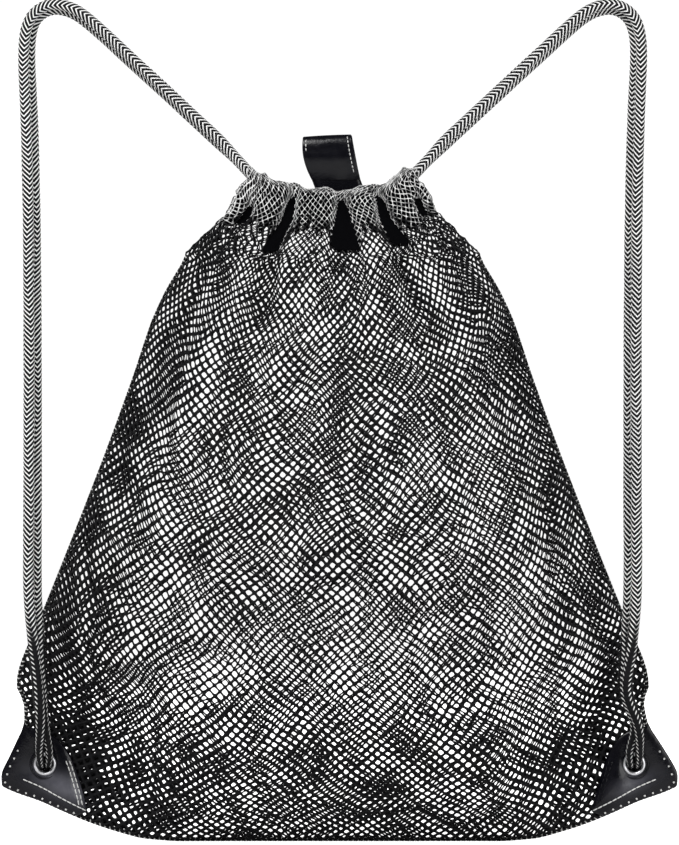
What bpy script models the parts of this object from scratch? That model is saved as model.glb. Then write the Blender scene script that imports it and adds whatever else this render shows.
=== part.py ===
"""Drawstring ball bag of open net with two cord straps.

X runs across the bag, -Y is its front, +Z is up. The origin is at the middle of the lowest edge.
The bag is drawn as it hangs full: a pillow of two net panels, a gathered hem in two lips round
the mouth, two cords that run through the hem and down to an eyelet in each lower corner.
"""

import math

import bmesh
import bpy
import numpy as np
from mathutils import Matrix

# Outline of the filled bag: (height, half width) from the corner tip up to the hem's top
HALF_WIDTHS = (
    (0.031, 0.1720),
    (0.059, 0.1570),
    (0.082, 0.1620),
    (0.107, 0.1520),
    (0.153, 0.1335),
    (0.202, 0.1145),
    (0.237, 0.1018),
    (0.276, 0.0877),
    (0.306, 0.0690),
    (0.337, 0.0430),
)
# Fill of the bag: (height, half depth at the middle)
HALF_DEPTHS = (
    (0.000, 0.000),
    (0.030, 0.036),
    (0.080, 0.057),
    (0.150, 0.054),
    (0.200, 0.046),
    (0.250, 0.035),
    (0.300, 0.024),
)
LENS_SHOULDER = 2.4
LENS_CREST = 0.8
BASE_SHIFT = 0.0035  # the lower edge sits this far to the right of the hem
BASE_SHIFT_TOP = 0.075
TIP_X, TIP_Z = 0.172, 0.031
BASE_FLAT_HALF = 0.090  # the lower edge is level to here and then rises to the tips
BASE_RISE_POWER = 1.5
CORNER_FLAT = 0.052  # the panels lie flat this close to a corner tip
CORNER_FULL = 0.100

GAP = 0.0003
PANEL_T = 0.0012
PANEL_FACE_Y = 0.0018
PANEL_TOP = 0.2970
PANEL_COLUMNS, PANEL_ROWS = 18, 18
SEAM_W = 0.0050

# Hem: two lips, each a casing on a gathered skirt
LIP_FOOT_Z = 0.2992
CHANNEL_Z = 0.3275
CHANNEL_RISE = 0.0095  # the channel climbs this much from the middle to its ends
CHANNEL_HALF_W = 0.0430
LIP_Y = 0.0100
LIP_HALF_T = 0.0076
SKIRT_HALF_T = 0.0012
BORE_HALF_D = 0.0066
BORE_HALF_H = 0.0036
LIP_CROWN = 0.0062  # top of the hem over the channel's centre line
LIP_CASING_SHARE = 0.88
LIP_SHARES = (0.0, 0.16, 0.32, 0.5, 0.7, LIP_CASING_SHARE, 1.12)
HEM_STATIONS = 16
TAPE_T = 0.0006
TAPE_CLEAR = 0.0008  # measured along Y, where the lip slopes
LIP_HINGE_Y, LIP_HINGE_Z = 0.0270, 0.2982  # the crease that a lip tips about

# Cords
CORD_R = 0.0029
OUTER_SLOT_Y = LIP_Y + 0.0032
INNER_SLOT_Y = LIP_Y - 0.0032
TURN_END = 0.0016  # the turn beyond the hem is straight from here to the middle
ELBOW_CLEAR = 0.0016
PIVOT_CLEAR = 0.0048  # left free on both sides of the point a strap loop swings about
TAIL_CLEAR = 0.0026
STRAP_START = (0.0575, 0.3562)
STRAP_END = (0.1521, 0.1300)
STRAP_CURVE = (
    (0.0800, 0.3772),
    (0.1050, 0.4002),
    (0.1225, 0.4162),
    (0.1328, 0.4234),
    (0.1430, 0.4252),
    (0.1513, 0.4206),
    (0.1552, 0.4110),
    (0.1558, 0.3950),
    (0.1546, 0.3700),
    (0.1530, 0.3100),
    (0.1522, 0.2200),
)
STRAND_APART = 0.0032  # each strand's centre from the pair's centre line
STRAND_SPREAD_TOP = 0.0007
STRAND_SPREAD_END = 0.0018
TAIL_Y = 0.0195

# Corner fittings
EYELET_X, EYELET_Z = 0.1500, 0.0395
EYELET_BORE_R = 0.0040
EYELET_BARREL_R = 0.0045
EYELET_FLANGE_R = 0.0059
EYELET_FLANGE_T = 0.0012
PATCH_T = 0.0012
PATCH_INNER_EDGE = (
    (0.1572, 0.0585),
    (0.1455, 0.0545),
    (0.1370, 0.0440),
    (0.1310, 0.0260),
    (0.1285, 0.0150),
)
CORNER_HOLE_R = EYELET_BARREL_R + GAP
WASHER_T = 0.0008
KNOT_Y = 0.0145
PINCHED_R = 0.0017
PINCHED_APART = 0.0019

# Hang loop
LOOP_W = 0.0250
LOOP_T = 0.0016
LOOP_H = 0.0225
LOOP_FOOT = (0.0025, 0.0100, 0.3376)
LOOP_LEAN = -0.19
LOOP_HALF_D = 0.0045
LOOP_FOOT_HALF_D = 0.0028
LOOP_FLAT_HALF = 0.0017


def clear_scene():
    for obj in list(bpy.data.objects):
        bpy.data.objects.remove(obj, do_unlink=True)


def make_material(name, colour, roughness, metallic=0.0):
    material = bpy.data.materials.new(name)
    material.use_nodes = True
    shader = material.node_tree.nodes["Principled BSDF"]
    shader.inputs["Base Color"].default_value = (*colour, 1.0)
    shader.inputs["Roughness"].default_value = roughness
    shader.inputs["Metallic"].default_value = metallic
    return material


def smoothstep(value, low, high):
    t = min(1.0, max(0.0, (value - low) / (high - low)))
    return t * t * (3.0 - 2.0 * t)


def along(points, value):
    """The curve through (place, value) points, with a cubic between each two of them."""
    xs = [p[0] for p in points]
    ys = [p[1] for p in points]
    value = min(max(value, xs[0]), xs[-1])
    i = min(max(int(np.searchsorted(xs, value)) - 1, 0), len(xs) - 2)
    slopes = np.gradient(ys, xs)
    span = xs[i + 1] - xs[i]
    t = (value - xs[i]) / span
    start = ys[i] * (1 + 2 * t) * (1 - t) ** 2 + slopes[i] * span * t * (1 - t) ** 2
    end = ys[i + 1] * t * t * (3 - 2 * t) - slopes[i + 1] * span * t * t * (1 - t)
    return start + end


def smooth_path(points, steps):
    """Points on the Catmull-Rom curve through the given ones, which may have any width."""
    given = np.array(points, float)
    padded = np.vstack([2 * given[0] - given[1], given, 2 * given[-1] - given[-2]])
    path = []
    for i in range(1, len(padded) - 2):
        a, b, c, d = padded[i - 1 : i + 3]
        for t in np.arange(steps) / steps:
            cubic = 2 * b + (c - a) * t + (2 * a - 5 * b + 4 * c - d) * t**2
            path.append(0.5 * (cubic + (3 * b - a - 3 * c + d) * t**3))
    return np.array(path + [given[-1]])


def half_width(z):
    return along(HALF_WIDTHS, z)


def base_shift(z):
    return BASE_SHIFT * (1.0 - smoothstep(z, TIP_Z, BASE_SHIFT_TOP))


def base_z(x):
    """Height of the lower edge at a distance x from the middle."""
    reach = max(0.0, abs(x) - BASE_FLAT_HALF) / (TIP_X - BASE_FLAT_HALF)
    return TIP_Z * reach**BASE_RISE_POWER


def lens(u):
    return (1.0 - min(1.0, abs(u)) ** LENS_SHOULDER) ** LENS_CREST


def fill_depth(x, u, z):
    """How far the net stands out from the flat panel at this place."""
    from_tip = math.hypot(TIP_X - abs(x), z - TIP_Z)
    return along(HALF_DEPTHS, z) * lens(u) * smoothstep(from_tip, CORNER_FLAT, CORNER_FULL)


def add_object(name, mesh, material):
    mesh.materials.append(material)
    mesh.shade_smooth()
    mesh.set_sharp_from_angle(angle=math.radians(40))
    obj = bpy.data.objects.new(name, mesh)
    bpy.context.scene.collection.objects.link(obj)
    return obj


def mesh_from(name, points, faces):
    mesh = bpy.data.meshes.new(name)
    mesh.from_pydata([tuple(map(float, p)) for p in points], [], faces)
    shape = bmesh.new()
    shape.from_mesh(mesh)
    bmesh.ops.recalc_face_normals(shape, faces=shape.faces)
    shape.to_mesh(mesh)
    shape.free()
    return mesh


def loft(name, rings, material):
    """A closed solid through rings of equally many points, with flat ends."""
    count = len(rings[0])
    faces = []
    for i in range(len(rings) - 1):
        for j in range(count):
            k = (j + 1) % count
            low, high = i * count, (i + 1) * count
            faces.append((low + j, low + k, high + k, high + j))
    faces.append(tuple(range(count)))
    last = (len(rings) - 1) * count
    faces.append(tuple(range(last, last + count)))
    points = [p for ring in rings for p in ring]
    return add_object(name, mesh_from(name, points, faces), material)


def cut(obj, cutter):
    cutter.hide_render = True
    cutter.display_type = "WIRE"
    modifier = obj.modifiers.new("cut", "BOOLEAN")
    modifier.operation = "DIFFERENCE"
    modifier.object = cutter


def join(obj, other):
    other.hide_render = True
    other.display_type = "WIRE"
    modifier = obj.modifiers.new("join", "BOOLEAN")
    modifier.operation = "UNION"
    modifier.object = other


def cylinder_y(name, centre, radius, length, material, sides=16):
    """A plain cylinder along Y."""
    rings = []
    for y in (-length / 2, length / 2):
        ring = []
        for i in range(sides):
            turn = 2 * math.pi * (i + 0.5) / sides
            x = centre[0] + radius * math.cos(turn)
            z = centre[2] + radius * math.sin(turn)
            ring.append((x, centre[1] + y, z))
        rings.append(ring)
    return loft(name, rings, material)


def cord(name, path, radii, material):
    """A round cord along a path, as a curve with a bevel and filled ends."""
    curve = bpy.data.curves.new(name, "CURVE")
    curve.dimensions = "3D"
    curve.bevel_depth = 1.0
    curve.bevel_resolution = 1
    curve.use_fill_caps = True
    spline = curve.splines.new("POLY")
    spline.points.add(len(path) - 1)
    for point, place, radius in zip(spline.points, path, radii):
        point.co = (*map(float, place), 1.0)
        point.radius = float(radius)
    spline.use_smooth = True
    curve.materials.append(material)
    obj = bpy.data.objects.new(name, curve)
    bpy.context.scene.collection.objects.link(obj)
    return obj


# Net panels


def panel_point(u, v, front):
    foot_side_z = TIP_Z + SEAM_W + GAP
    side_z = foot_side_z + v * (PANEL_TOP - foot_side_z)
    x = u * (half_width(side_z) - SEAM_W - GAP)
    foot_x = half_width(foot_side_z) - SEAM_W - GAP
    corner_lift = (TIP_Z - base_z(foot_x)) * abs(u) ** 12
    foot_z = base_z(u * foot_x) + corner_lift + SEAM_W + GAP
    z = foot_z + v * (PANEL_TOP - foot_z)
    y = PANEL_FACE_Y + fill_depth(x, u, z)
    return (x + base_shift(z), -y if front else y, z)


def net_panel(name, front, material):
    columns, rows = PANEL_COLUMNS, PANEL_ROWS
    points = []
    for j in range(rows + 1):
        for i in range(columns + 1):
            u = math.sin(math.pi / 2 * (2 * i / columns - 1))
            points.append(panel_point(u, j / rows, front))
    faces = []
    for j in range(rows):
        for i in range(columns):
            a = j * (columns + 1) + i
            face = (a, a + 1, a + columns + 2, a + columns + 1)
            faces.append(face if front else face[::-1])
    mesh = bpy.data.meshes.new(name)
    mesh.from_pydata(points, [], faces)
    obj = add_object(name, mesh, material)
    shell = obj.modifiers.new("thickness", "SOLIDIFY")
    shell.thickness = PANEL_T
    shell.offset = -1.0
    for side in (-1, 1):
        centre = (side * EYELET_X + BASE_SHIFT, 0.0, EYELET_Z)
        cut(obj, cylinder_y(f"{name}_hole_{side}", centre, CORNER_HOLE_R, 0.02, material))
    return obj


# Seams


def seam_ring(corners):
    """The four corners of a flat strip's section, from its two edges in the XZ plane."""
    (ax, az), (bx, bz) = corners
    y = PANEL_FACE_Y
    return [(ax, -y, az), (bx, -y, bz), (bx, y, bz), (ax, y, az)]


def side_seam(name, side, material):
    foot, top, steps = TIP_Z + SEAM_W + GAP, PANEL_TOP, PANEL_ROWS
    rings = []
    for i in range(steps + 1):
        z = foot + (top - foot) * i / steps
        shift = base_shift(z)
        outer = side * half_width(z) + shift
        inner = side * (half_width(z) - SEAM_W) + shift
        rings.append(seam_ring(((inner, z), (outer, z))))
    return loft(name, rings, material)


def bottom_seam(name, material):
    steps = 30
    rings = []
    for i in range(steps + 1):
        x = TIP_X * math.sin(math.pi / 2 * (2 * i / steps - 1))
        z = base_z(x)
        place = x + base_shift(z)
        rings.append(seam_ring(((place, z), (place, z + SEAM_W))))
    return loft(name, rings, material)


# Hem


def channel_z(x):
    return CHANNEL_Z + CHANNEL_RISE * (x / CHANNEL_HALF_W) ** 2


def lip_width(share):
    """Half width of the skirt, narrowing from the top of the net panel to the channel."""
    narrowing = max(0.0, 1.0 - share / LIP_CASING_SHARE)
    return CHANNEL_HALF_W + (half_width(LIP_FOOT_Z) - CHANNEL_HALF_W) * narrowing


def lip_row(u, share):
    """Half width, centre y, z and half thickness of a lip, this share of the way up to its channel."""
    middle_z = channel_z(u * CHANNEL_HALF_W)
    foot_y = PANEL_FACE_Y + SKIRT_HALF_T + along(HALF_DEPTHS, LIP_FOOT_Z) * lens(u)
    z = LIP_FOOT_Z + (middle_z - LIP_FOOT_Z) * share
    blend = smoothstep(share, 0.0, LIP_CASING_SHARE)
    y = foot_y + (LIP_Y - foot_y) * blend
    half_t = SKIRT_HALF_T + (LIP_HALF_T - SKIRT_HALF_T) * blend
    return lip_width(share), y, z, half_t


def hem(name, sign, material):
    """One lip of the hem: sign is -1 for the front, +1 for the back."""
    stations = HEM_STATIONS
    rings = []
    for i in range(stations + 1):
        u = 2 * i / stations - 1
        rows = [lip_row(u, share) for share in LIP_SHARES]
        crown = channel_z(u * CHANNEL_HALF_W) + LIP_CROWN
        rows.append((CHANNEL_HALF_W, LIP_Y, crown, LIP_HALF_T * 0.6))
        outer = [(u * w, sign * (y + t), z) for w, y, z, t in rows]
        inner = [(u * w, sign * (y - t), z) for w, y, z, t in reversed(rows)]
        rings.append(outer + inner)
    obj = loft(name, rings, material)
    bore_rings = []
    for i in range(stations + 1):
        x = 1.2 * CHANNEL_HALF_W * (2 * i / stations - 1)
        z = channel_z(min(max(x, -CHANNEL_HALF_W), CHANNEL_HALF_W))
        d, h, chamfer = BORE_HALF_D, BORE_HALF_H, 0.0008
        corners = (
            (-d, -h + chamfer),
            (-d + chamfer, -h),
            (d - chamfer, -h),
            (d, -h + chamfer),
            (d, h - chamfer),
            (d - chamfer, h),
            (-d + chamfer, h),
            (-d, h - chamfer),
        )
        bore_rings.append([(x, sign * LIP_Y + dy, z + dz) for dy, dz in corners])
    cut(obj, loft(f"{name}_bore", bore_rings, material))
    return obj


def facing_tape(name, sign, material):
    """The plain strip that lines a lip on the mouth's side, from near its foot to near its top."""
    stations = HEM_STATIONS
    shares = LIP_SHARES[1:-1] + (1.05,)
    rings = []
    for i in range(1, stations):
        near, far = [], []
        for share in shares:
            u = 2 * i / stations - 1
            width, y, z, half_t = lip_row(u, share)
            skin = y - half_t - TAPE_CLEAR
            near.append((u * width, sign * skin, z))
            far.append((u * width, sign * (skin - TAPE_T), z))
        rings.append(near + far[::-1])
    return loft(name, rings, material)


# Cords


def strap_centre():
    """The pair's centre line over the strap loop, at +X: rows of x, y, z."""
    flat = smooth_path((STRAP_START, *STRAP_CURVE, STRAP_END), 2)
    top = max(z for _, z in flat)
    rows = []
    passed_top = False
    for x, z in flat:
        passed_top = passed_top or z >= top
        y = -TAIL_Y * smoothstep(top - z, 0.0, top - STRAP_END[1]) if passed_top else 0.0
        rows.append((x, y, z))
    return np.array(rows)


def strand_places(centre, strand, spreads):
    """The centre line of one strand: strand is -1 for the front one, +1 for the back one."""
    tangents = np.gradient(centre, axis=0)
    rows = []
    for place, tangent, spread in zip(centre, tangents, spreads):
        across = np.array((tangent[2], 0.0, -tangent[0]))
        across /= np.linalg.norm(across)
        offset = np.array((0.0, strand * STRAND_APART, 0.0)) + strand * spread * across
        rows.append(place + offset)
    return np.array(rows)


def mirrored(path, side):
    return path * np.array((side, 1.0, 1.0))


def strap_strand(name, side, strand, material):
    centre = strap_centre()
    spreads = np.linspace(STRAND_SPREAD_TOP, STRAND_SPREAD_END, len(centre))
    path = strand_places(centre, strand, spreads)
    onward = path[1] - path[0]
    path[0] += onward / np.linalg.norm(onward) * PIVOT_CLEAR
    path = mirrored(path, side)
    return cord(name, path, [CORD_R] * len(path), material)


def tail_path(side, strand):
    """From under the strap loop down to the eyelet and through it: rows of x, y, z, radius."""
    eyelet_x = EYELET_X + side * BASE_SHIFT
    top = strand_places(strap_centre(), strand, [STRAND_SPREAD_END] * 99)[-1]
    spread = strand * STRAND_SPREAD_END
    apart = strand * STRAND_APART
    pinch = strand * PINCHED_APART
    rows = (
        (top[0], top[1], top[2] - TAIL_CLEAR, CORD_R),
        (0.1520 - spread, -0.0205 + apart, 0.1020, CORD_R),
        (0.1514 - spread, -0.0205 + apart, 0.0760, CORD_R),
        (eyelet_x + 0.0004 - 1.15 * spread, -0.0172 + 0.85 * apart, 0.0590, 0.0027),
        (eyelet_x - 1.2 * pinch, -0.0108 + 0.35 * apart, 0.0465, 0.0022),
        (eyelet_x - pinch, -0.0052, EYELET_Z, PINCHED_R),
        (eyelet_x - pinch, 0.0010, EYELET_Z, PINCHED_R),
        (eyelet_x - pinch, 0.0064, EYELET_Z, PINCHED_R),
    )
    return smooth_path(rows, 3)


def cord_tail(name, side, strand, material):
    rows = tail_path(side, strand)
    return cord(name, mirrored(rows[:, :3], side), rows[:, 3], material)


def elbow(name, side, strand, slot_y, material):
    """From the mouth of a channel up to the foot of the strap loop."""
    foot, onward = strand_places(strap_centre(), strand, [STRAND_SPREAD_TOP] * 99)[:2]
    along_strap = (onward - foot) / np.linalg.norm(onward - foot)
    start_z = channel_z(CHANNEL_HALF_W)
    mouth = CHANNEL_HALF_W + ELBOW_CLEAR
    rows = [(mouth, strand * slot_y, start_z)]
    for out, up, pull in ((0.0026, 0.0012, 0.08), (0.0060, 0.0076, 0.45)):
        y = slot_y + (STRAND_APART - slot_y) * pull
        rows.append((mouth + out, strand * y, start_z + up))
    rows.append(tuple(foot - along_strap * PIVOT_CLEAR))
    path = mirrored(smooth_path(rows, 3), side)
    return cord(name, path, [CORD_R] * len(path), material)


def hem_run(name, side, strand, slot_y, material):
    """A cord inside one lip, from its own side's mouth to half way round the turn beyond."""
    points = []
    for x in np.linspace(-CHANNEL_HALF_W, CHANNEL_HALF_W, 9):
        points.append((x, strand * slot_y, channel_z(x)))
    steps = 6
    for i in range(1, steps + 1):
        turn = math.acos(TURN_END / slot_y) * i / steps
        x = CHANNEL_HALF_W + slot_y * math.sin(turn)
        points.append((x, strand * slot_y * math.cos(turn), channel_z(CHANNEL_HALF_W)))
    points.append((points[-1][0], strand * GAP, channel_z(CHANNEL_HALF_W)))
    path = np.array(points) * np.array((-side, 1.0, 1.0))
    return cord(name, path, [CORD_R] * len(path), material)


def knot(name, side, material):
    """An overhand knot behind the eyelet, with two short cord ends below it."""
    x = side * EYELET_X + BASE_SHIFT
    mesh = bpy.data.meshes.new(name)
    shape = bmesh.new()
    bmesh.ops.create_uvsphere(shape, u_segments=14, v_segments=8, radius=1.0)
    bmesh.ops.scale(shape, vec=(0.0082, 0.0068, 0.0074), verts=shape.verts)
    bmesh.ops.translate(shape, vec=(x, KNOT_Y, EYELET_Z), verts=shape.verts)
    shape.to_mesh(mesh)
    shape.free()
    obj = add_object(name, mesh, material)
    for end in (-1, 1):
        foot = (x + end * 0.0052, KNOT_Y + 0.0022, EYELET_Z - 0.0160)
        top = (x + end * 0.0030, KNOT_Y, EYELET_Z - 0.0020)
        rings = []
        for place in (foot, top):
            ring = []
            for i in range(8):
                turn = 2 * math.pi * i / 8
                dx, dy = CORD_R * math.cos(turn), CORD_R * math.sin(turn)
                ring.append((place[0] + dx, place[1] + dy, place[2]))
            rings.append(ring)
        join(obj, loft(f"{name}_end_{end}", rings, material))
    return obj


# Corner fittings


def corner_patch(name, side, sign, material):
    """A flat patch on one corner: side is -1 left or +1 right, sign is -1 front or +1 back."""
    edge = list(PATCH_INNER_EDGE)
    for x in (0.1400, 0.1500, 0.1600):
        edge.append((x, base_z(x)))
    edge.append((TIP_X, TIP_Z))
    for z in (0.040, 0.049):
        edge.append((half_width(z), z))
    near = PANEL_FACE_Y + GAP
    rings = []
    for y in (near, near + PATCH_T):
        rings.append([(side * x + BASE_SHIFT, sign * y, z) for x, z in edge])
    obj = loft(name, rings, material)
    centre = (side * EYELET_X + BASE_SHIFT, 0.0, EYELET_Z)
    cut(obj, cylinder_y(f"{name}_hole", centre, CORNER_HOLE_R, 0.02, material))
    return obj


def turned(name, profile, centre, material, sides=18):
    """A ring turned about a line along Y, from (radius, y) points round its section."""
    points, faces = [], []
    count = len(profile)
    for i in range(sides):
        turn = 2 * math.pi * i / sides
        for radius, y in profile:
            x = centre[0] + radius * math.cos(turn)
            z = centre[1] + radius * math.sin(turn)
            points.append((x, y, z))
    for i in range(sides):
        for j in range(count):
            a = i * count + j
            b = i * count + (j + 1) % count
            c = ((i + 1) % sides) * count + (j + 1) % count
            d = ((i + 1) % sides) * count + j
            faces.append((a, b, c, d))
    return add_object(name, mesh_from(name, points, faces), material)


def eyelet(name, side, material):
    """A flange with a rounded face and the barrel that goes through the corner."""
    back = PANEL_FACE_Y + GAP + PATCH_T + GAP
    front = -back - EYELET_FLANGE_T
    end = back + WASHER_T + GAP
    profile = (
        (EYELET_BORE_R, end),
        (EYELET_BORE_R, front + 0.0003),
        (EYELET_BORE_R + 0.0003, front),
        (EYELET_FLANGE_R - 0.0006, front),
        (EYELET_FLANGE_R, front + 0.0006),
        (EYELET_FLANGE_R, -back),
        (EYELET_BARREL_R, -back),
        (EYELET_BARREL_R, end),
    )
    centre = (side * EYELET_X + BASE_SHIFT, EYELET_Z)
    return turned(name, profile, centre, material)


def washer(name, side, material):
    near = PANEL_FACE_Y + GAP + PATCH_T + GAP
    far = near + WASHER_T
    inner = EYELET_BARREL_R + GAP
    profile = (
        (inner, near),
        (EYELET_FLANGE_R, near),
        (EYELET_FLANGE_R, far),
        (inner, far),
    )
    centre = (side * EYELET_X + BASE_SHIFT, EYELET_Z)
    return turned(name, profile, centre, material)


# Hang loop


def loop_profile(inset):
    """Half of the loop's section from its foot to its top: (y, height), inset from outside."""
    crown = LOOP_H - inset
    side = LOOP_HALF_D - inset
    return (
        (LOOP_FOOT_HALF_D - inset, 0.0),
        (side - 0.0006, 0.35 * LOOP_H),
        (side, 0.62 * LOOP_H),
        (side - 0.0002, 0.80 * LOOP_H),
        (0.5 * (side + LOOP_FLAT_HALF), crown - 0.0012),
        (LOOP_FLAT_HALF, crown),
    )


def hang_loop(name, material):
    outer, inner = loop_profile(0.0), loop_profile(LOOP_T)
    section = [(-y, h) for y, h in outer] + [(y, h) for y, h in reversed(outer)]
    section += [(y, h) for y, h in inner] + [(-y, h) for y, h in reversed(inner)]
    rings = []
    for across in (-LOOP_W / 2, LOOP_W / 2):
        ring = []
        for y, h in section:
            x = LOOP_FOOT[0] + across + LOOP_LEAN * h
            ring.append((x, LOOP_FOOT[1] + y, LOOP_FOOT[2] + h))
        rings.append(ring)
    return loft(name, rings, material)


def add_pivot(name, place, parent, pieces):
    """An empty at a place, on a joint's axis, that carries the pieces which turn about it."""
    pivot = bpy.data.objects.new(name, None)
    bpy.context.scene.collection.objects.link(pivot)
    pivot.location = place
    if parent:
        pivot.parent = parent
        pivot.matrix_parent_inverse = Matrix.Translation(parent.location).inverted()
    for piece in pieces:
        piece.parent = pivot
        piece.matrix_parent_inverse = Matrix.Translation(place).inverted()
    return pivot


def add_pivots(lips, straps, loop):
    """Every joint's pivot, under one frame whose origin is midway between the corner tips."""
    moving = lips["front"] + lips["back"] + straps["left"] + straps["right"] + [loop]
    fixed = [obj for obj in bpy.context.scene.collection.objects if obj not in moving]
    frame = add_pivot("bag_frame", (0.0, 0.0, 0.0), None, fixed)
    add_pivot("front_lip_pivot", (0.0, -LIP_HINGE_Y, LIP_HINGE_Z), frame, lips["front"])
    back = add_pivot("back_lip_pivot", (0.0, LIP_HINGE_Y, LIP_HINGE_Z), frame, lips["back"])
    add_pivot("hang_loop_pivot", LOOP_FOOT, back, [loop])
    for label, side in (("left", -1), ("right", 1)):
        foot = (side * STRAP_END[0], -TAIL_Y, STRAP_END[1])
        add_pivot(f"{label}_strap_pivot", foot, frame, straps[label])
    frame.location.x = -BASE_SHIFT


def main():
    clear_scene()
    net = make_material("black_net", (0.015, 0.015, 0.016), 0.75)
    binding = make_material("black_binding", (0.012, 0.012, 0.013), 0.80)
    tape = make_material("black_tape", (0.008, 0.008, 0.009), 0.70)
    leather = make_material("black_leather", (0.020, 0.020, 0.022), 0.45)
    braid = make_material("flecked_braid", (0.160, 0.160, 0.160), 0.80)
    metal = make_material("silver_metal", (0.780, 0.780, 0.800), 0.22, 1.0)

    net_panel("front_mesh_panel", True, net)
    net_panel("back_mesh_panel", False, net)
    bottom_seam("bottom_seam", binding)
    lips = {}
    for lip, sign in (("front", -1), ("back", 1)):
        lips[lip] = [
            hem(f"{lip}_channel_hem", sign, net),
            facing_tape(f"{lip}_facing_tape", sign, tape),
        ]
    loop = hang_loop("hang_loop", leather)
    straps = {"left": [], "right": []}
    for label, side, slot_y in (("left", -1, OUTER_SLOT_Y), ("right", 1, INNER_SLOT_Y)):
        side_seam(f"{label}_side_seam", side, binding)
        eyelet(f"{label}_eyelet", side, metal)
        washer(f"{label}_eyelet_washer", side, metal)
        knot(f"{label}_cord_knot", side, braid)
        for place, strand in (("front", -1), ("back", 1)):
            corner_patch(f"{label}_{place}_corner_patch", side, strand, leather)
            cord_tail(f"{label}_{place}_cord_tail", side, strand, braid)
            straps[label].append(strap_strand(f"{label}_{place}_strap_cord", side, strand, braid))
            lips[place].append(elbow(f"{label}_{place}_cord_elbow", side, strand, slot_y, braid))
            lips[place].append(hem_run(f"{label}_{place}_hem_cord", side, strand, slot_y, braid))
    add_pivots(lips, straps, loop)


main()
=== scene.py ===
"""Looks of the mesh ball bag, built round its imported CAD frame.

The bag is a pillow of two net panels. Each panel runs up into one gathered lip of the hem, over
the cords and down inside. X runs across the bag, -Y is its front and +Z is up, in metres.
"""

import math

import bmesh
import bpy
import numpy as np
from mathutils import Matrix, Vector
from mathutils.bvhtree import BVHTree


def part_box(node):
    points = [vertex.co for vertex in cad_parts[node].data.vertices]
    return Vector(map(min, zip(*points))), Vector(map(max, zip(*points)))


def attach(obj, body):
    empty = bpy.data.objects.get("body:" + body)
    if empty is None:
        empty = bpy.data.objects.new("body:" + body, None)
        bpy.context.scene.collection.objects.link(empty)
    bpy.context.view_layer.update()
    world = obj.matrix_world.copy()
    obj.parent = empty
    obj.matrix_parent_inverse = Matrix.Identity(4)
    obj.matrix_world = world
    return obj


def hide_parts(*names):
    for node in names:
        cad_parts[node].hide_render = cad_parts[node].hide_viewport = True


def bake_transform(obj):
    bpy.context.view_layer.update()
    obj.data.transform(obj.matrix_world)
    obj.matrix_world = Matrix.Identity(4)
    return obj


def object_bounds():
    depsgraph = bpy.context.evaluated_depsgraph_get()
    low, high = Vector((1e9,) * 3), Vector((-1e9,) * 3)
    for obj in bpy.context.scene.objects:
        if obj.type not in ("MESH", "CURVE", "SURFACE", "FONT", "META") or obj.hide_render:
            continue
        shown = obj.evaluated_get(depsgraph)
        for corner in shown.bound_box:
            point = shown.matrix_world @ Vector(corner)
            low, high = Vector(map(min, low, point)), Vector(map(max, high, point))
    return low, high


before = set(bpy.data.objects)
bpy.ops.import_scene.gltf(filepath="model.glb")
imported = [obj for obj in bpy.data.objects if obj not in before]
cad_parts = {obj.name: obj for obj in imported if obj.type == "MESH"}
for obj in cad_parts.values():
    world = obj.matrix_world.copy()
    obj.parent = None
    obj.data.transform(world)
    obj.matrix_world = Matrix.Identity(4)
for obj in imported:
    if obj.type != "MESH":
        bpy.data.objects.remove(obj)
cad_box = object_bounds()

# Net
MESH_PITCH = 0.0037  # from hole to hole along a diagonal
STEP = MESH_PITCH / math.sqrt(2.0)  # from a hole's middle to the thread crossing beside it
HOLE_TO_CROSSING = 0.64  # how far a hole reaches towards a crossing, and towards a thread's middle
HOLE_TO_THREAD = 0.76
THREAD_H = 0.00036  # half the height of a thread, and of the knot where two cross
KNOT_H = 0.00052
EDGE_R = 0.0011  # rolled and overlocked edge
FACE_Y = 0.0011
NET_INSET_Y = 0.0018  # how far the net lies inside the front of the CAD's panel
NET_SIDE_STEPS = 170  # half steps from the middle to beyond either side
COLUMNS, PANEL_ROWS, LIP_ROWS, CROWN_ROWS = 481, 240, 48, 17
LENS_SHOULDER, LENS_CREST = 2.4, 0.8
CORNER_FLAT, CORNER_FULL = 0.050, 0.100
TIP_DROP, TIP_BLUNT = 0.0030, 0.0076  # the corner's blunt end
NOTCH_RAISE = 0.0065

# Hem: each lip is a casing round the cords on a gathered skirt
LIP_FOOT_Z = 0.2992
CHANNEL_Z, CHANNEL_RISE, CHANNEL_HALF_W = 0.3275, 0.0095, 0.0430
LIP_Y, LIP_HALF_T, SKIRT_HALF_T = 0.0100, 0.0076, 0.0012
LIP_CROWN, CROWN_DIPS = 0.0062, 0.0022
CASING_SHARE = 0.88
PLEAT_TOP_Z, PLEAT_LOW_Z = 0.2985, 0.1900
# Valleys between the gathers: place across the lip, half width low in the hem and high in it,
# and how far up the hem its tape starts there
VALLEYS = (
    (-0.43, 0.054, 0.037, 0.03),
    (0.10, 0.090, 0.038, 0.05),
    (0.50, 0.060, 0.036, 0.15),
)
# Dimples near the hem's ends: place across, half width, middle up the hem, half height
DIMPLES = ((-0.81, 0.036, 0.56, 0.12), (0.86, 0.036, 0.66, 0.12))
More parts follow.
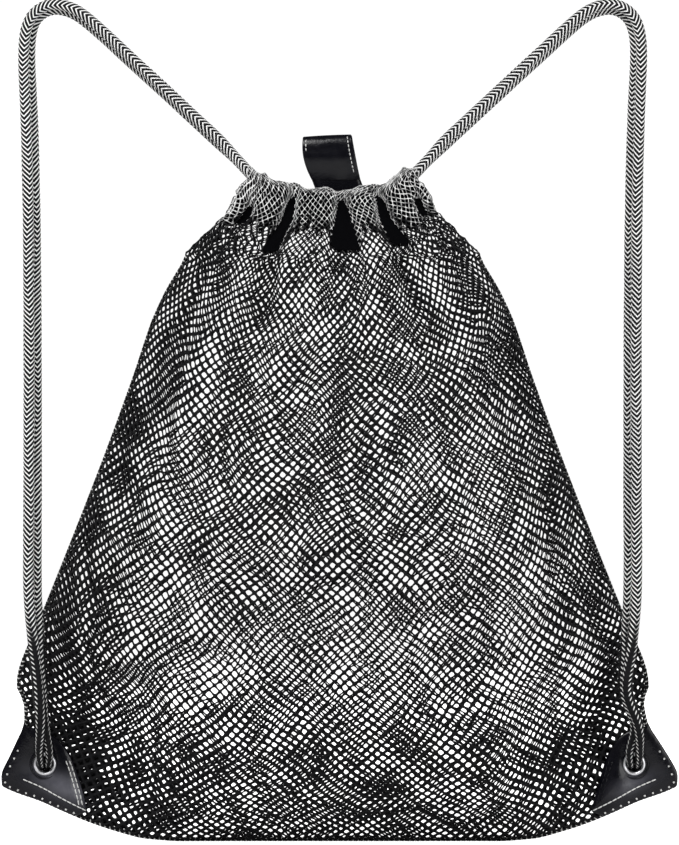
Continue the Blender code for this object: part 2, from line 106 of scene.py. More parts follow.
# How far a lip has narrowed from its foot to its channel, up the hem
SHOULDER = ((0.0, 0.0), (0.30, 0.36), (0.56, 0.667), (0.70, 0.750), (0.91, 0.873), (1.0, 1.0))
GATHER_STANDS = 0.0026
VALLEY_SINKS = 0.0062
SLEEVE_INSET = 0.0010
SLEEVE_T = 0.0004
GATHER_FOOT, FOOT_UNEVEN = 0.32, 0.30  # how far up the hem its tape starts
NET_LAP, SLEEVE_LAP = 0.42, 0.85  # share of the hem's height that the inside of a lip covers

# Cords
CORD_R = 0.0029
PLY_PITCH = 0.00124  # along the cord, from one ply of the braid to the next
PLY_RISE = 0.0041
CORD_SIDES = 20
PLY_ROWS = 4
PLY_RELIEF, SEAM_PINCH = 0.10, 0.955  # a ply's height, and a vee's groove, as shares of the radius
ROPE_STEP = 0.0004  # along the path, between its points
WOBBLE_LENGTH = 0.0135  # along the cord, over which the plait turns a little and back
OUTER_SLOT_Y, INNER_SLOT_Y = LIP_Y + 0.0032, LIP_Y - 0.0032
STRAP_START, STRAP_END = (0.0575, 0.3562), (0.1521, 0.1300)
STRAP_CURVE = (
    (0.0800, 0.3772),
    (0.1050, 0.4002),
    (0.1225, 0.4162),
    (0.1328, 0.4234),
    (0.1430, 0.4252),
    (0.1513, 0.4206),
    (0.1552, 0.4110),
    (0.1558, 0.3950),
    (0.1546, 0.3700),
    (0.1530, 0.3100),
    (0.1522, 0.2200),
)
HEM_RUN = (0.72, 0.74, 0.76)  # shares of the channel where a strand's run starts, ends and turns back
HEM_MOUTH_INSET = 0.0045
STRAND_APART = 0.0032
STRAND_SPREAD_TOP, STRAND_SPREAD_END = 0.0007, 0.0018
TAIL_Y = 0.0195
PINCHED_R, PINCHED_APART = 0.0017, 0.0019
KNOT_SIZE, KNOT_DEPTH, KNOT_Y, KNOT_TOP = 0.0018, 0.0021, 0.0145, 0.0074
KNOT_CORD_R, CORD_END_R = 0.0025, 0.0026
CORD_DARKENS = (0.080, 0.135)  # heights between which the braid's painted ply highlights thin out into flecks, lower on the cord
STRAP_BEND, HEAD_BEND = 0.028, 0.012  # how far from its foot and its head the strap's braid is cut into stretches of its own
BEND_INSET = 0.16  # share of a stretch, at each of its ends, that bend_stretch sets aside, though it bends nothing
TURN_FLAT, TURN_DROP = 0.50, 0.0060  # the far turn is squeezed in and hangs down inside the hem's end


# Measuring the frame


def cad_tree(node):
    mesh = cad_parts[node].data
    points = [tuple(v.co) for v in mesh.vertices]
    return BVHTree.FromPolygons(points, [tuple(p.vertices) for p in mesh.polygons])


def first_hit(tree, start, direction):
    place = tree.ray_cast(Vector(start), Vector(direction))[0]
    return None if place is None else np.array(place)


def profile(tree, levels, ray):
    """(levels that hit, where the ray of each level meets the node)."""
    found = []
    for level in levels:
        hit = first_hit(tree, *ray(level))
        if hit is not None:
            found.append((level, *hit))
    return np.array(found)


def from_below(x):
    """A ray straight up in the bag's middle plane."""
    return (x, 0.0, -1.0), (0.0, 0.0, 1.0)


def ramp(value, low, high):
    """0 below low, 1 above high, and smooth between them."""
    t = np.clip((np.asarray(value, float) - low) / (high - low), 0.0, 1.0)
    return t * t * (3.0 - 2.0 * t)


def curve_at(xs, ys, value):
    """The smooth curve through the points (xs, ys), level beyond its ends."""
    xs, ys = np.asarray(xs, float), np.asarray(ys, float)
    value = np.clip(value, xs[0], xs[-1])
    slopes = np.gradient(ys, xs)
    i = np.clip(np.searchsorted(xs, value) - 1, 0, len(xs) - 2)
    span = xs[i + 1] - xs[i]
    t = (value - xs[i]) / span
    start = ys[i] * (1 + 2 * t) * (1 - t) ** 2 + slopes[i] * span * t * (1 - t) ** 2
    end = ys[i + 1] * t * t * (3 - 2 * t) - slopes[i + 1] * span * t * t * (1 - t)
    return start + end


def smooth_path(points, steps):
    """A smooth curve through these points, with this many steps between two of them."""
    given = np.array(points, float)
    padded = np.vstack([2 * given[0] - given[1], given, 2 * given[-1] - given[-2]])
    path = []
    for i in range(1, len(padded) - 2):
        a, b, c, d = padded[i - 1 : i + 3]
        for t in np.arange(steps) / steps:
            cubic = 2 * b + (c - a) * t + (2 * a - 5 * b + 4 * c - d) * t**2
            path.append(0.5 * (cubic + (3 * b - a - 3 * c + d) * t**3))
    return np.array(path + [given[-1]])


def running_length(path):
    """How far along the path each of its points is."""
    return np.concatenate([[0.0], np.cumsum(np.linalg.norm(np.diff(path, axis=0), axis=1))])


def unit(vectors):
    return vectors / np.maximum(np.linalg.norm(vectors, axis=-1, keepdims=True), 1e-12)


def drift(x, z, scale, seed):
    """Smooth, repeatable unevenness of about -1 to 1, over lengths of about scale."""
    draw = np.random.default_rng(seed)
    total = 0.0
    for _ in range(7):
        turn, phase = draw.uniform(0.0, 2 * math.pi, 2)
        rate = 2 * math.pi * draw.uniform(0.6, 1.5) / scale
        total = total + np.sin(rate * (x * math.cos(turn) + z * math.sin(turn)) + phase)
    return total * 0.3


def eyelet_place(label):
    low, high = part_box(f"{label}_eyelet")
    return (low.x + high.x) / 2, (low.z + high.z) / 2


SIDES, PANELS = (("left", -1), ("right", 1)), (("front", -1), ("back", 1))

hem_low, hem_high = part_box("front_channel_hem")
MIDDLE_X = (hem_low.x + hem_high.x) / 2
seam_low, seam_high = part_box("bottom_seam")
TIP_X = seam_high.x
side_low, side_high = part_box("left_side_seam")
PANEL_TOP = side_high.z
UNDERSIDE = profile(cad_tree("bottom_seam"), np.linspace(0.0, TIP_X - 0.0005, 30), from_below)
TIP_Z = float(curve_at(UNDERSIDE[:, 0], UNDERSIDE[:, 3], TIP_X)) - TIP_DROP
SIDE_LEVELS = np.linspace(side_low.z + 0.0002, PANEL_TOP - 0.0002, 34)
MEASURED_LEFT, MEASURED_RIGHT = [
    profile(
        cad_tree(f"{label}_side_seam"),
        SIDE_LEVELS,
        lambda z, side=side: ((side, 0.0, z), (-side, 0.0, 0.0)),
    )[:, :2]
    for label, side in (("left", -1.0), ("right", 1.0))
]
FILL = profile(
    cad_tree("front_mesh_panel"),
    np.linspace(0.008, PANEL_TOP - 0.0005, 34),
    lambda z: ((MIDDLE_X, -1.0, z), (0.0, 1.0, 0.0)),
)
BASE = profile(
    cad_tree("bottom_seam"),
    np.linspace(seam_low.x + 0.0003, seam_high.x - 0.0003, 40),
    from_below,
)


def raised(edge, tip_x):
    """A side edge with its narrow place higher and a blunt end at the corner."""
    z = edge[:, 0]
    lift = NOTCH_RAISE * (0.7 + 0.3 * ramp(z, 0.030, 0.045)) * (1.0 - ramp(z, 0.060, 0.082))
    blunt = [(TIP_Z, tip_x), (TIP_Z + TIP_BLUNT, tip_x)]
    return np.vstack([blunt, np.column_stack([z + lift, edge[:, 1]])])


LEFT_EDGE, RIGHT_EDGE = raised(MEASURED_LEFT, -TIP_X), raised(MEASURED_RIGHT, TIP_X)


def half_width(z):
    return (curve_at(*RIGHT_EDGE.T, z) - curve_at(*LEFT_EDGE.T, z)) / 2


def middle_x(z):
    return (curve_at(*RIGHT_EDGE.T, z) + curve_at(*LEFT_EDGE.T, z)) / 2


def side_x(side, z, inset=0.0):
    """The bag's left or right edge, or a line this far inside it."""
    return middle_x(z) + side * (half_width(z) - inset)


def base_z(x):
    return curve_at(BASE[:, 0], BASE[:, 3], x) - TIP_DROP * ramp(np.abs(x), 0.148, TIP_X)


def fill_depth(z):
    return np.interp(z, [0.0, *FILL[:, 0]], [0.0, *(-FILL[:, 2] - NET_INSET_Y)])


def lens(u):
    return (1.0 - np.clip(np.abs(u), 0.0, 1.0) ** LENS_SHOULDER) ** LENS_CREST


# Mesh helpers


def add_piece(name, points, faces, material, smooth=True):
    """A mesh object from a point array and a list, or an array, of faces."""
    mesh = bpy.data.meshes.new(name)
    if isinstance(faces, np.ndarray):
        mesh.vertices.add(len(points))
        mesh.vertices.foreach_set("co", np.asarray(points, np.float32).ravel())
        count, corners = faces.shape
        mesh.loops.add(count * corners)
        mesh.loops.foreach_set("vertex_index", faces.astype(np.int32).ravel())
        mesh.polygons.add(count)
        starts = np.arange(0, count * corners, corners, dtype=np.int32)
        mesh.polygons.foreach_set("loop_start", starts)
        mesh.update(calc_edges=True)
        mesh.validate()
    else:
        mesh.from_pydata([tuple(map(float, p)) for p in points], [], faces)
    mesh.materials.append(material)
    if smooth:
        mesh.shade_smooth()
    obj = bpy.data.objects.new(name, mesh)
    bpy.context.scene.collection.objects.link(obj)
    return obj


def band_faces(rings, count, base=0, closed=False):
    """Quads between rings of points that follow each other, and back to the first ring if closed."""
    total = rings * count
    faces = []
    for k in range(rings if closed else rings - 1):
        for i in range(count):
            a, b = k * count + i, k * count + (i + 1) % count
            faces.append(tuple(base + corner % total for corner in (a, b, b + count, a + count)))
    return faces


def tube_faces(rings, count, base=0):
    """The same, closed by one face at each end."""
    last = base + (rings - 1) * count
    ends = [tuple(range(base + count - 1, base - 1, -1)), tuple(range(last, last + count))]
    return band_faces(rings, count, base) + ends


def settle(obj, slot, body, *nodes):
    """The piece moves with one body and stands in for these CAD nodes; the slot argument is not used."""
    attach(obj, body)
    if nodes:
        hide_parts(*nodes)


def sharpen(obj, degrees=50):
    """Faces out, with a crisp edge wherever two faces meet at more than this angle."""
    face_outwards(obj)
    obj.data.set_sharp_from_angle(angle=math.radians(degrees))


def face_outwards(obj):
    shape = bmesh.new()
    shape.from_mesh(obj.data)
    bmesh.ops.recalc_face_normals(shape, faces=shape.faces)
    shape.to_mesh(obj.data)
    shape.free()


def set_attribute(obj, name, values):
    attribute = obj.data.attributes.new(name, "FLOAT", "POINT")
    attribute.data.foreach_set("value", np.asarray(values, np.float32).ravel())


# The sheet: one side of the bag as rows of points

ACROSS = np.linspace(-1.0, 1.0, COLUMNS)  # -1 at the left edge, 1 at the right
# Rounds where the load pushes the front net out: x, z, radius, height
BULGES = (
    *((-0.060, 0.095, 0.034, 0.0060), (0.013, 0.095, 0.036, 0.0065), (-0.050, 0.035, 0.034, 0.0030)),
    *((0.078, 0.035, 0.030, 0.0030), (0.098, 0.120, 0.042, 0.0050), (0.052, 0.185, 0.034, 0.0040)),
    *((-0.100, 0.150, 0.026, 0.0040), (-0.085, 0.195, 0.024, 0.0035), (-0.020, 0.225, 0.030, 0.0022)),
)
HIGHEST_BULGE = 0.0065
# Wrinkles of a panel: height, rates along x and z, length, seed
WRINKLES = ((0.0016, 1.0, 0.45, 0.075, 11), (0.0007, 1.3, 0.5, 0.028, 21))
PANEL_RIPPLE, LIP_RIPPLE = 0.0009, 0.0007
# Where the lip's ruffled top stands up: place across the lip, height
RUFFLES, RUFFLE_HALF_W, RUFFLE_UNEVEN = ((-0.80, 0.0020), (0.84, 0.0022)), 0.045, 0.0011


def channel_z(x):
    return CHANNEL_Z + CHANNEL_RISE * np.clip(np.abs(x) / CHANNEL_HALF_W, 0.0, 1.1) ** 2


def dip(away, half):
    """1 near the middle of a dip, 0 well outside its half width."""
    return 1.0 - ramp(np.abs(away), 0.55 * half, 2.1 * half)


def valley(u, share):
    """1 in the bottom of a valley between gathers, 0 on the gathers; share runs up the hem."""
    deepest = 0.0
    for place, low, high, _ in VALLEYS:
        half = low + (high - low) * ramp(share, 0.3, 1.1)
        deepest = np.maximum(deepest, dip(u - place, half))
    for place, half, middle, half_height in DIMPLES:
        deepest = np.maximum(deepest, dip(u - place, half) * dip(share - middle, half_height))
    return deepest


def lip_section(u, share):
    """Half width, outer y, inner y and z of a lip, without its gathers."""
    top_z = channel_z(u * CHANNEL_HALF_W)
    foot_half = half_width(PANEL_TOP)
    blend = ramp(share, 0.0, CASING_SHARE)
    foot_y = NET_INSET_Y + SKIRT_HALF_T + fill_depth(PANEL_TOP) * lens(u)
    y = foot_y + (LIP_Y - foot_y) * blend
    half_t = SKIRT_HALF_T + (LIP_HALF_T - SKIRT_HALF_T) * blend
    width = foot_half + (CHANNEL_HALF_W - foot_half) * curve_at(*zip(*SHOULDER), share)
    return width, y + half_t, y - half_t, LIP_FOOT_Z + (top_z - LIP_FOOT_Z) * share


def tape_foot(u):
    """How far up the hem the plain tape starts: low in the valleys, higher and uneven on the gathers."""
    uneven = 0.5 + 0.3 * np.sin(61.0 * u + 1.9 * np.sin(23.0 * u)) + 0.2 * np.sin(148.0 * u)
    foot = GATHER_FOOT + FOOT_UNEVEN * uneven
    lows = [(place, low, starts) for place, low, _, starts in VALLEYS]
    lows += [(place, half, middle - half_height) for place, half, middle, half_height in DIMPLES]
    for place, half, starts in lows:
        foot = foot + (starts - foot) * ramp(dip(u - place, half), 0.0, 0.95)
    return foot


def soft_bulges(x, z):
    """How far the load pushes the front net out."""
    total = 0.0
    for cx, cz, radius, height in BULGES:
        away = ((x - cx) ** 2 + (z - cz) ** 2) / radius**2
        total = total + height * np.exp(-(away**1.5))
    return total


def ripple(u, z):
    """Small folds that run up to the hem, -1 to 1."""
    return np.sin(46.0 * u + 3.0 * np.sin(60.0 * z))


def panel_rows(sign):
    """Points up one net panel, from its lower edge to the foot of the hem."""
    u = ACROSS[None, :]
    v = np.linspace(0.0, 1.0, PANEL_ROWS)[:, None]
    foot_side_z = TIP_Z + EDGE_R
    side_z = foot_side_z + v * (PANEL_TOP - foot_side_z)
    half = half_width(side_z) - 0.5 * EDGE_R
    foot_x = u * half[0]
    corner_lift = (TIP_Z - base_z(foot_x[0, -1])) * np.abs(u) ** 12
    foot_z = base_z(foot_x) + corner_lift + EDGE_R
    z = foot_z + v * (PANEL_TOP - foot_z)
    x = u * half + middle_x(z)
    from_tip = np.hypot(TIP_X - np.abs(x), z - TIP_Z)
    fade = ramp(from_tip, CORNER_FLAT, CORNER_FULL)
    inside = lens(u) * ramp(v, 0.0, 0.12) * (1.0 - ramp(z, 0.25, PANEL_TOP))
    y = FACE_Y + fill_depth(z) * lens(u) * fade
    if sign < 0:
        y = y + soft_bulges(x, z) * inside * fade
    wrinkle = 0.0
    for height, x_rate, z_rate, scale, seed in WRINKLES:
        wrinkle = wrinkle + height * drift(x * x_rate, z * z_rate, scale, seed - sign)
    y = y + wrinkle * lens(u) * ramp(v, 0.0, 0.1) * (0.35 + 0.65 * fade)
    reach = ramp(z, PLEAT_LOW_Z, PLEAT_TOP_Z) ** 1.6
    spread = 1.0 + 0.9 * (1.0 - ramp(z, 0.24, PLEAT_TOP_Z))
    folds = GATHER_STANDS - VALLEY_SINKS * valley(u, -0.4 * (spread - 1.0))
    folds = folds + PANEL_RIPPLE * ripple(u, z)
    y = y + folds * reach * np.clip(lens(u) * 3.0, 0.0, 1.0)
    return np.stack([x, sign * y, z], axis=-1)


def lip_rows(sign, stands, sinks, inset, ruffle, lap, foot=0.0):
    """Points up the outside of a lip, over its crown and down its inside."""
    u = ACROSS[None, :]
    share = foot + (1.0 - foot) * np.linspace(0.0, 1.0, LIP_ROWS)[:, None]
    width, outer, _, z = lip_section(u, share)
    edge = np.clip(lens(u) * 3.0, 0.0, 1.0)
    depth = sinks * (1.0 - 0.35 * ramp(share, 0.75, 1.0))
    folds = stands - depth * valley(u, share)
    folds = folds + ruffle * LIP_RIPPLE * ripple(u, z) * (1 - share)
    out = np.stack([u * width + MIDDLE_X, outer - inset + folds * edge, z], axis=-1)
    turn = np.linspace(0.0, math.pi, CROWN_ROWS)[1:-1, None]
    top_z = channel_z(u * CHANNEL_HALF_W)
    crest = RUFFLE_UNEVEN * drift(u * 0.05, 0.0 * u, 0.012, 5)
    for place, height in RUFFLES:
        crest = crest + height * np.exp(-((np.abs(u - place) / RUFFLE_HALF_W) ** 1.2))
    crest = crest * ruffle
    fade = 0.5 + 0.5 * np.cos(turn)
    y = LIP_Y + (LIP_HALF_T - inset) * np.cos(turn) + folds[-1] * edge * fade**2
    low_middle = CROWN_DIPS * (1.0 - u * u)
    crown_z = top_z + (LIP_CROWN - low_middle - inset + crest) * np.sin(turn)
    over = np.stack([u * CHANNEL_HALF_W + MIDDLE_X + 0.0 * turn, y, crown_z], axis=-1)
    back = share[::-1][: int(LIP_ROWS * lap)]
    width, _, inner, z = lip_section(u, back)
    inside = np.stack([u * width + MIDDLE_X, inner + inset, z], axis=-1)
    rows = np.concatenate([out, over, inside])
    rows[..., 1] *= sign
    return rows


# Net

GATHERING = ((0.12, 0.22, 0.10), (0.22, 0.29, 0.25), (0.29, 0.318, 0.60))  # from height, to height, more
# How much smaller the holes are: at the left and the right side, in creases, low in the bag, at
# random, and how much larger they are on the bulges
CLOSED_LEFT, CLOSED_RIGHT, CLOSED_CREASE = 0.22, 0.14, 0.07
CLOSED_LOW, CLOSED_UNEVEN, OPEN_BULGE = 0.13, 0.04, 0.08


def gather(z):
    """How much closer together the net's threads lie than in flat net."""
    closer = 0.97
    for low, high, more in GATHERING:
        closer = closer + more * ramp(z, low, high)
    return closer


def closing(u, z):
    """How much smaller the holes are than in slack net: towards the sides and along the creases."""
    side = np.where(u < 0, CLOSED_LEFT, CLOSED_RIGHT) * ramp(np.abs(u), 0.58, 0.96)
    crease = valley(u, 0.0) * ramp(z, 0.15, 0.285)
    pushed = soft_bulges(u * half_width(z) + middle_x(z), z) / HIGHEST_BULGE
    low = (1.0 - ramp(z, 0.030, 0.085)) * (1.0 + 0.6 * ramp(-u, 0.2, 0.7))
    uneven = drift(u * 0.25, z, 0.045, 77)
    closed = side + CLOSED_CREASE * crease + CLOSED_LOW * low
    return closed - OPEN_BULGE * pushed + CLOSED_UNEVEN * uneven


def column_lengths(rows):
    steps = np.linalg.norm(np.diff(rows, axis=0), axis=-1)
    return np.vstack([np.zeros((1, rows.shape[1])), np.cumsum(steps, axis=0)])


def net_levels(lengths, heights, reach):
    """Lengths up the sheet of each half step of the net, which lie closer together in the hem."""
    fine = np.linspace(0.0, reach, 4000)
    z = np.interp(fine, lengths * reach / lengths[-1], heights)
    steps = np.cumsum(1.0 + 0.40 * ramp(z, 0.284, 0.306)) * (fine[1] - fine[0]) / (STEP / 2)
    return np.interp(np.arange(0.0, steps[-1]), steps, fine)


def net_grid(rows):
    """The sheet again, at every half step of the net's own two directions."""
    lengths = column_lengths(rows)
    reach = lengths[-1].max()
    middle = COLUMNS // 2
    levels = net_levels(lengths[:, middle], rows[:, middle, 2], reach)
    even = np.empty((len(levels), COLUMNS, 3))
    for i in range(COLUMNS):
        stretch = lengths[:, i] * (reach / lengths[-1, i]) ** 0.5
        for k in range(3):
            even[:, i, k] = np.interp(levels, stretch, rows[:, i, k])
    across = np.gradient(even, axis=1)
    up = np.gradient(even, axis=0)
    normals = unit(np.cross(across, up))
    places = []
    limits = []
    side_steps = NET_SIDE_STEPS
    for j in range(len(levels)):
        row = np.hstack([even[j], normals[j]])
        along = running_length(even[j])
        along -= along[middle]
        pitch = STEP / 2 / gather(min(even[j, middle, 2], 0.34))
        wanted = np.arange(-side_steps, side_steps + 1) * pitch
        places.append([np.interp(wanted, along, row[:, k]) for k in range(6)])
        limits.append((along[0] / pitch, along[-1] / pitch))
    grid = np.moveaxis(np.array(places), 1, 2)
    return grid, np.array(limits), side_steps


def pulled(i, j, slack, seed):
    """How many half steps the net is pulled out of line: a little from hole to hole, and in long waves."""
    jitter, wander = slack
    return jitter * drift(i, j, 8.0, seed) + wander * drift(i, j, 50.0, seed + 1)


def sample(sheet, i, j, slack, seed):
    """Points and normals at half steps i across and j up, with the net's unevenness."""
    grid, limits, side_steps = sheet
    rows, columns = grid.shape[:2]
    edge = limits[np.clip(j, 0, rows - 1).astype(int)]
    inside = 1.0 - ramp(i / np.where(i < 0, edge[:, 0], edge[:, 1]), 0.80, 1.0)
    shift_i = pulled(i, j, slack, seed) * inside
    shift_j = pulled(i, j, slack, seed + 2)
    i = np.clip(i + shift_i + side_steps, 0.0, columns - 1.001)
    j = np.clip(j + shift_j * ramp(j, 0.0, 8.0) * ramp(rows - 1.0 - j, 0.0, 8.0), 0.0, rows - 1.001)
    i0, j0 = i.astype(int), j.astype(int)
    a, b = (i - i0)[..., None], (j - j0)[..., None]
    low = grid[j0, i0] * (1 - a) + grid[j0, i0 + 1] * a
    high = grid[j0 + 1, i0] * (1 - a) + grid[j0 + 1, i0 + 1] * a
    both = low * (1 - b) + high * b
    return both[..., :3], unit(both[..., 3:])


# How far each panel is pulled out of line, in half steps: from hole to hole, and in long waves
NET_SLACK = {"front": (0.17, 0.8), "back": (0.32, 2.0)}
# The eight points round a hole, in half steps: crossings and thread middles by turns
RING = np.array([(0, 2), (1, 1), (2, 0), (1, -1), (0, -2), (-1, -1), (-2, 0), (-1, 1)])
EDGE_ROOM = 0.6  # half steps between a hole's middle and the sheet's edge
# LIT_FADE: height over which the painted crest highlight fades in at the tape's foot
LIT_FADE = 0.006
KEY = 4096  # more half steps than a row has, so that a row and a column make one number


def kept_holes(sheet, j_low, j_high):
    """Half steps across and up to the middle of every hole that fits between two rows."""
    grid, limits, side_steps = sheet
    top = min(j_high, (grid.shape[0] - 3) // 2)
    ci, cj = np.meshgrid(np.arange(-side_steps // 2, side_steps // 2 + 1), np.arange(j_low, top))
    ci, cj = ci.ravel(), cj.ravel()
    kept = (ci + cj) % 2 == 0
    kept &= (2 * ci > limits[2 * cj, 0] + EDGE_ROOM) & (2 * ci < limits[2 * cj, 1] - EDGE_ROOM)
    return 2 * ci[kept], 2 * cj[kept]


def across_share(limits, i, j):
    """How far across the sheet half steps are, from -1 to 1."""
    row = limits[np.clip(j, 0, len(limits) - 1)]
    return i / np.where(i < 0, -row[:, 0], row[:, 1])


def net_faces(outer, count, rim_count):
    """Quads from the ring of each hole to its rim on both sides, and round the net's outer edge."""
    front, back = outer, outer + count
    hole = np.arange(rim_count).reshape(-1, 8) + 2 * count
    next_front, next_back, next_hole = [np.roll(ring, -1, axis=1) for ring in (front, back, hole)]
    faces = [
        np.stack([front, hole, next_hole, next_front], axis=-1).reshape(-1, 4),
        np.stack([back, next_back, next_hole, hole], axis=-1).reshape(-1, 4),
    ]
    pairs = np.stack([outer, np.roll(outer, -1, axis=1)], axis=-1).reshape(-1, 2)
    edge_keys = np.sort(pairs, axis=1) @ np.array([count, 1])
    first, times = np.unique(edge_keys, return_index=True, return_counts=True)[1:]
    a, b = pairs[first[times == 1]].T
    faces.append(np.stack([a, b, b + count, a + count], axis=-1))
    return np.vstack(faces)


def crest_highlight(limits, i, j, z, seed):
    """Painted highlight on the thread crests: light and uneven in the hem, over its tape, and dark, with
    no painted highlight, under it.
    """
    u = across_share(limits, i, j)
    foot_z = LIP_FOOT_Z + tape_foot(u) * (channel_z(u * CHANNEL_HALF_W) - LIP_FOOT_Z)
    lit = ramp(z, foot_z - LIT_FADE, foot_z + LIT_FADE)
    return lit * np.random.default_rng(seed).uniform(0.40, 1.12, len(z))


def net_piece(name, sheet, j_low, j_high, material, slack, seed):
    """The net between two rows of holes: every hole a ring of eight, every thread two-sided."""
    grid, limits, side_steps = sheet
    ci, cj = kept_holes(sheet, j_low, j_high)
    keys = (cj[:, None] + RING[:, 1] + 8) * KEY + ci[:, None] + RING[:, 0] + KEY // 2
    used, outer = np.unique(keys, return_inverse=True)
    oi, oj = used % KEY - KEY // 2, used // KEY - 8
    crest, normals = sample(sheet, oi.astype(float), oj.astype(float), slack, seed)
    height = np.where(oi % 2 == 0, KNOT_H, THREAD_H)[:, None]
    shrink = 1.0 - closing(across_share(limits, ci, cj), grid[cj, ci + side_steps, 2])
    reach = np.where(RING[:, 0] % 2 == 0, HOLE_TO_CROSSING, HOLE_TO_THREAD) * shrink[:, None]
    hi = ci[:, None] + RING[:, 0] * reach
    hj = cj[:, None] + RING[:, 1] * reach
    rim = sample(sheet, hi.ravel(), hj.ravel(), slack, seed)[0]
    points = np.vstack([crest + normals * height, crest - normals * height, rim])
    faces = net_faces(outer.reshape(keys.shape), len(used), len(rim))
    obj = add_piece(name, points, faces, material)
    # The glint attribute paints a highlight onto the thread crests, as a light colour.
    lit = crest_highlight(limits, oi, oj, crest[:, 2], seed)
    set_attribute(obj, "glint", np.concatenate([lit, lit, np.zeros(len(rim))]))
    return obj


# Materials


class Shader:
    """A material and short ways to add nodes to it."""

    def __init__(self, name, colour, roughness, metallic=0.0, specular=0.5):
        self.material = bpy.data.materials.new(name)
        self.material.use_nodes = True
        self.tree = self.material.node_tree
        self.main = self.tree.nodes["Principled BSDF"]
        self.main.inputs["Base Color"].default_value = (*colour, 1.0)
        self.main.inputs["Roughness"].default_value = roughness
        self.main.inputs["Metallic"].default_value = metallic
        self.main.inputs["Specular IOR Level"].default_value = specular
        self.place = self.node("ShaderNodeTexCoord").outputs["Object"]

    def node(self, kind, **values):
        made = self.tree.nodes.new(kind)
        for key, value in values.items():
            setattr(made, key, value)
        return made

    def link(self, source, target):
        self.tree.links.new(source, target)

    def noise(self, scale, detail=3.0):
        made = self.node("ShaderNodeTexNoise")
        made.inputs["Scale"].default_value = scale
        made.inputs["Detail"].default_value = detail
        self.link(self.place, made.inputs["Vector"])
        return made.outputs["Fac"]

    def cells(self, scale, feature="F1"):
        made = self.node("ShaderNodeTexVoronoi", feature=feature)
        made.inputs["Scale"].default_value = scale
        self.link(self.place, made.inputs["Vector"])
        return made.outputs["Distance"]

    def wave(self, scale, direction="DIAGONAL", distortion=0.5):
        made = self.node("ShaderNodeTexWave", bands_direction=direction)
        made.inputs["Scale"].default_value = scale
        made.inputs["Distortion"].default_value = distortion
        self.link(self.place, made.inputs["Vector"])
        return made.outputs["Fac"]

    def attribute(self, name):
        return self.node("ShaderNodeAttribute", attribute_name=name).outputs["Fac"]

    def spread(self, value, low, high, to_low, to_high):
        made = self.node("ShaderNodeMapRange")
        limits = {"From Min": low, "From Max": high, "To Min": to_low, "To Max": to_high}
        for socket, number in limits.items():
            made.inputs[socket].default_value = number
        self.link(value, made.inputs["Value"])
        return made.outputs["Result"]

    def multiply(self, a, b):
        made = self.node("ShaderNodeMath", operation="MULTIPLY")
        self.link(a, made.inputs[0])
        self.link(b, made.inputs[1])
        return made.outputs["Value"]

    def mix(self, factor, first, second):
        """Colours, or sockets that hold colours, mixed by a factor socket."""
        made = self.node("ShaderNodeMix", data_type="RGBA")
        self.link(factor, made.inputs["Factor"])
        for socket, colour in (("A", first), ("B", second)):
            target = [s for s in made.inputs if s.name == socket and s.type == "RGBA"][0]
            if isinstance(colour, tuple):
                target.default_value = (*colour, 1.0)
            else:
                self.link(colour, target)
        return [s for s in made.outputs if s.type == "RGBA"][0]

    def colour(self, socket):
        self.link(socket, self.main.inputs["Base Color"])

    def roughness(self, socket):
        self.link(socket, self.main.inputs["Roughness"])

    def bump(self, height, distance, strength=1.0):
        made = self.node("ShaderNodeBump")
        made.inputs["Distance"].default_value = distance
        made.inputs["Strength"].default_value = strength
        self.link(height, made.inputs["Height"])
        before = self.main.inputs["Normal"]
        if before.is_linked:
            self.link(before.links[0].from_socket, made.inputs["Normal"])
        self.link(made.outputs["Normal"], before)


def thread_material(shader, scales, darks, lights, marked, rough, bump):
    """Fibres that are dark, and light where an attribute, between two values, marks them; that light
    colour is a painted highlight, on the net's thread crests in the hem and on the braid's plies.
    """
    s = shader
    fibres = s.noise(scales[0], 2.0)
    dark = s.mix(s.noise(scales[1]), *darks)
    light = s.mix(fibres, *lights)
    s.colour(s.mix(s.spread(s.attribute(marked[0]), *marked[1:], 0.0, 1.0), dark, light))
    s.roughness(s.spread(fibres, 0.3, 0.7, *rough))
    s.bump(fibres, bump)
    return s.material


def net_material():
    return thread_material(
        Shader("black_net", (0.012, 0.012, 0.013), 0.6, specular=0.10),
        scales=(5200.0, 420.0),
        darks=((0.003, 0.003, 0.004), (0.011, 0.011, 0.012)),
        # the light colour is a painted highlight on the hem's thread crests, marked by glint
        lights=((0.80, 0.80, 0.80), (0.98, 0.98, 0.97)),
        marked=("glint", 0.30, 0.70),
        rough=(0.45, 0.72),
        bump=0.00008,
    )


def tape_material():
    s = Shader("woven_tape", (0.003, 0.003, 0.004), 0.9, specular=0.03)
    weave = s.multiply(s.wave(900.0, "X", 0.2), s.wave(900.0, "Z", 0.2))
    s.colour(s.mix(weave, (0.001, 0.001, 0.0015), (0.005, 0.005, 0.006)))
    s.roughness(s.spread(weave, 0.0, 1.0, 0.92, 0.7))
    s.bump(weave, 0.00012)
    return s.material


def leather_material():
    s = Shader("black_leather", (0.006, 0.006, 0.008), 0.3, specular=0.28)
    grain = s.cells(1300.0)
    mottle = s.noise(220.0)
    smooth = s.mix(mottle, (0.0015, 0.0015, 0.003), (0.004, 0.004, 0.007))
    # Painted sheen: a greyer leather colour where the patches' attribute marks it.
    sheen_grey = s.mix(mottle, (0.07, 0.07, 0.085), (0.13, 0.13, 0.15))
    s.colour(s.mix(s.attribute("painted_sheen"), smooth, sheen_grey))
    s.roughness(s.spread(mottle, 0.3, 0.7, 0.17, 0.27))
    s.bump(grain, 0.00003, 0.8)
    s.bump(mottle, 0.0003, 0.5)
    return s.material


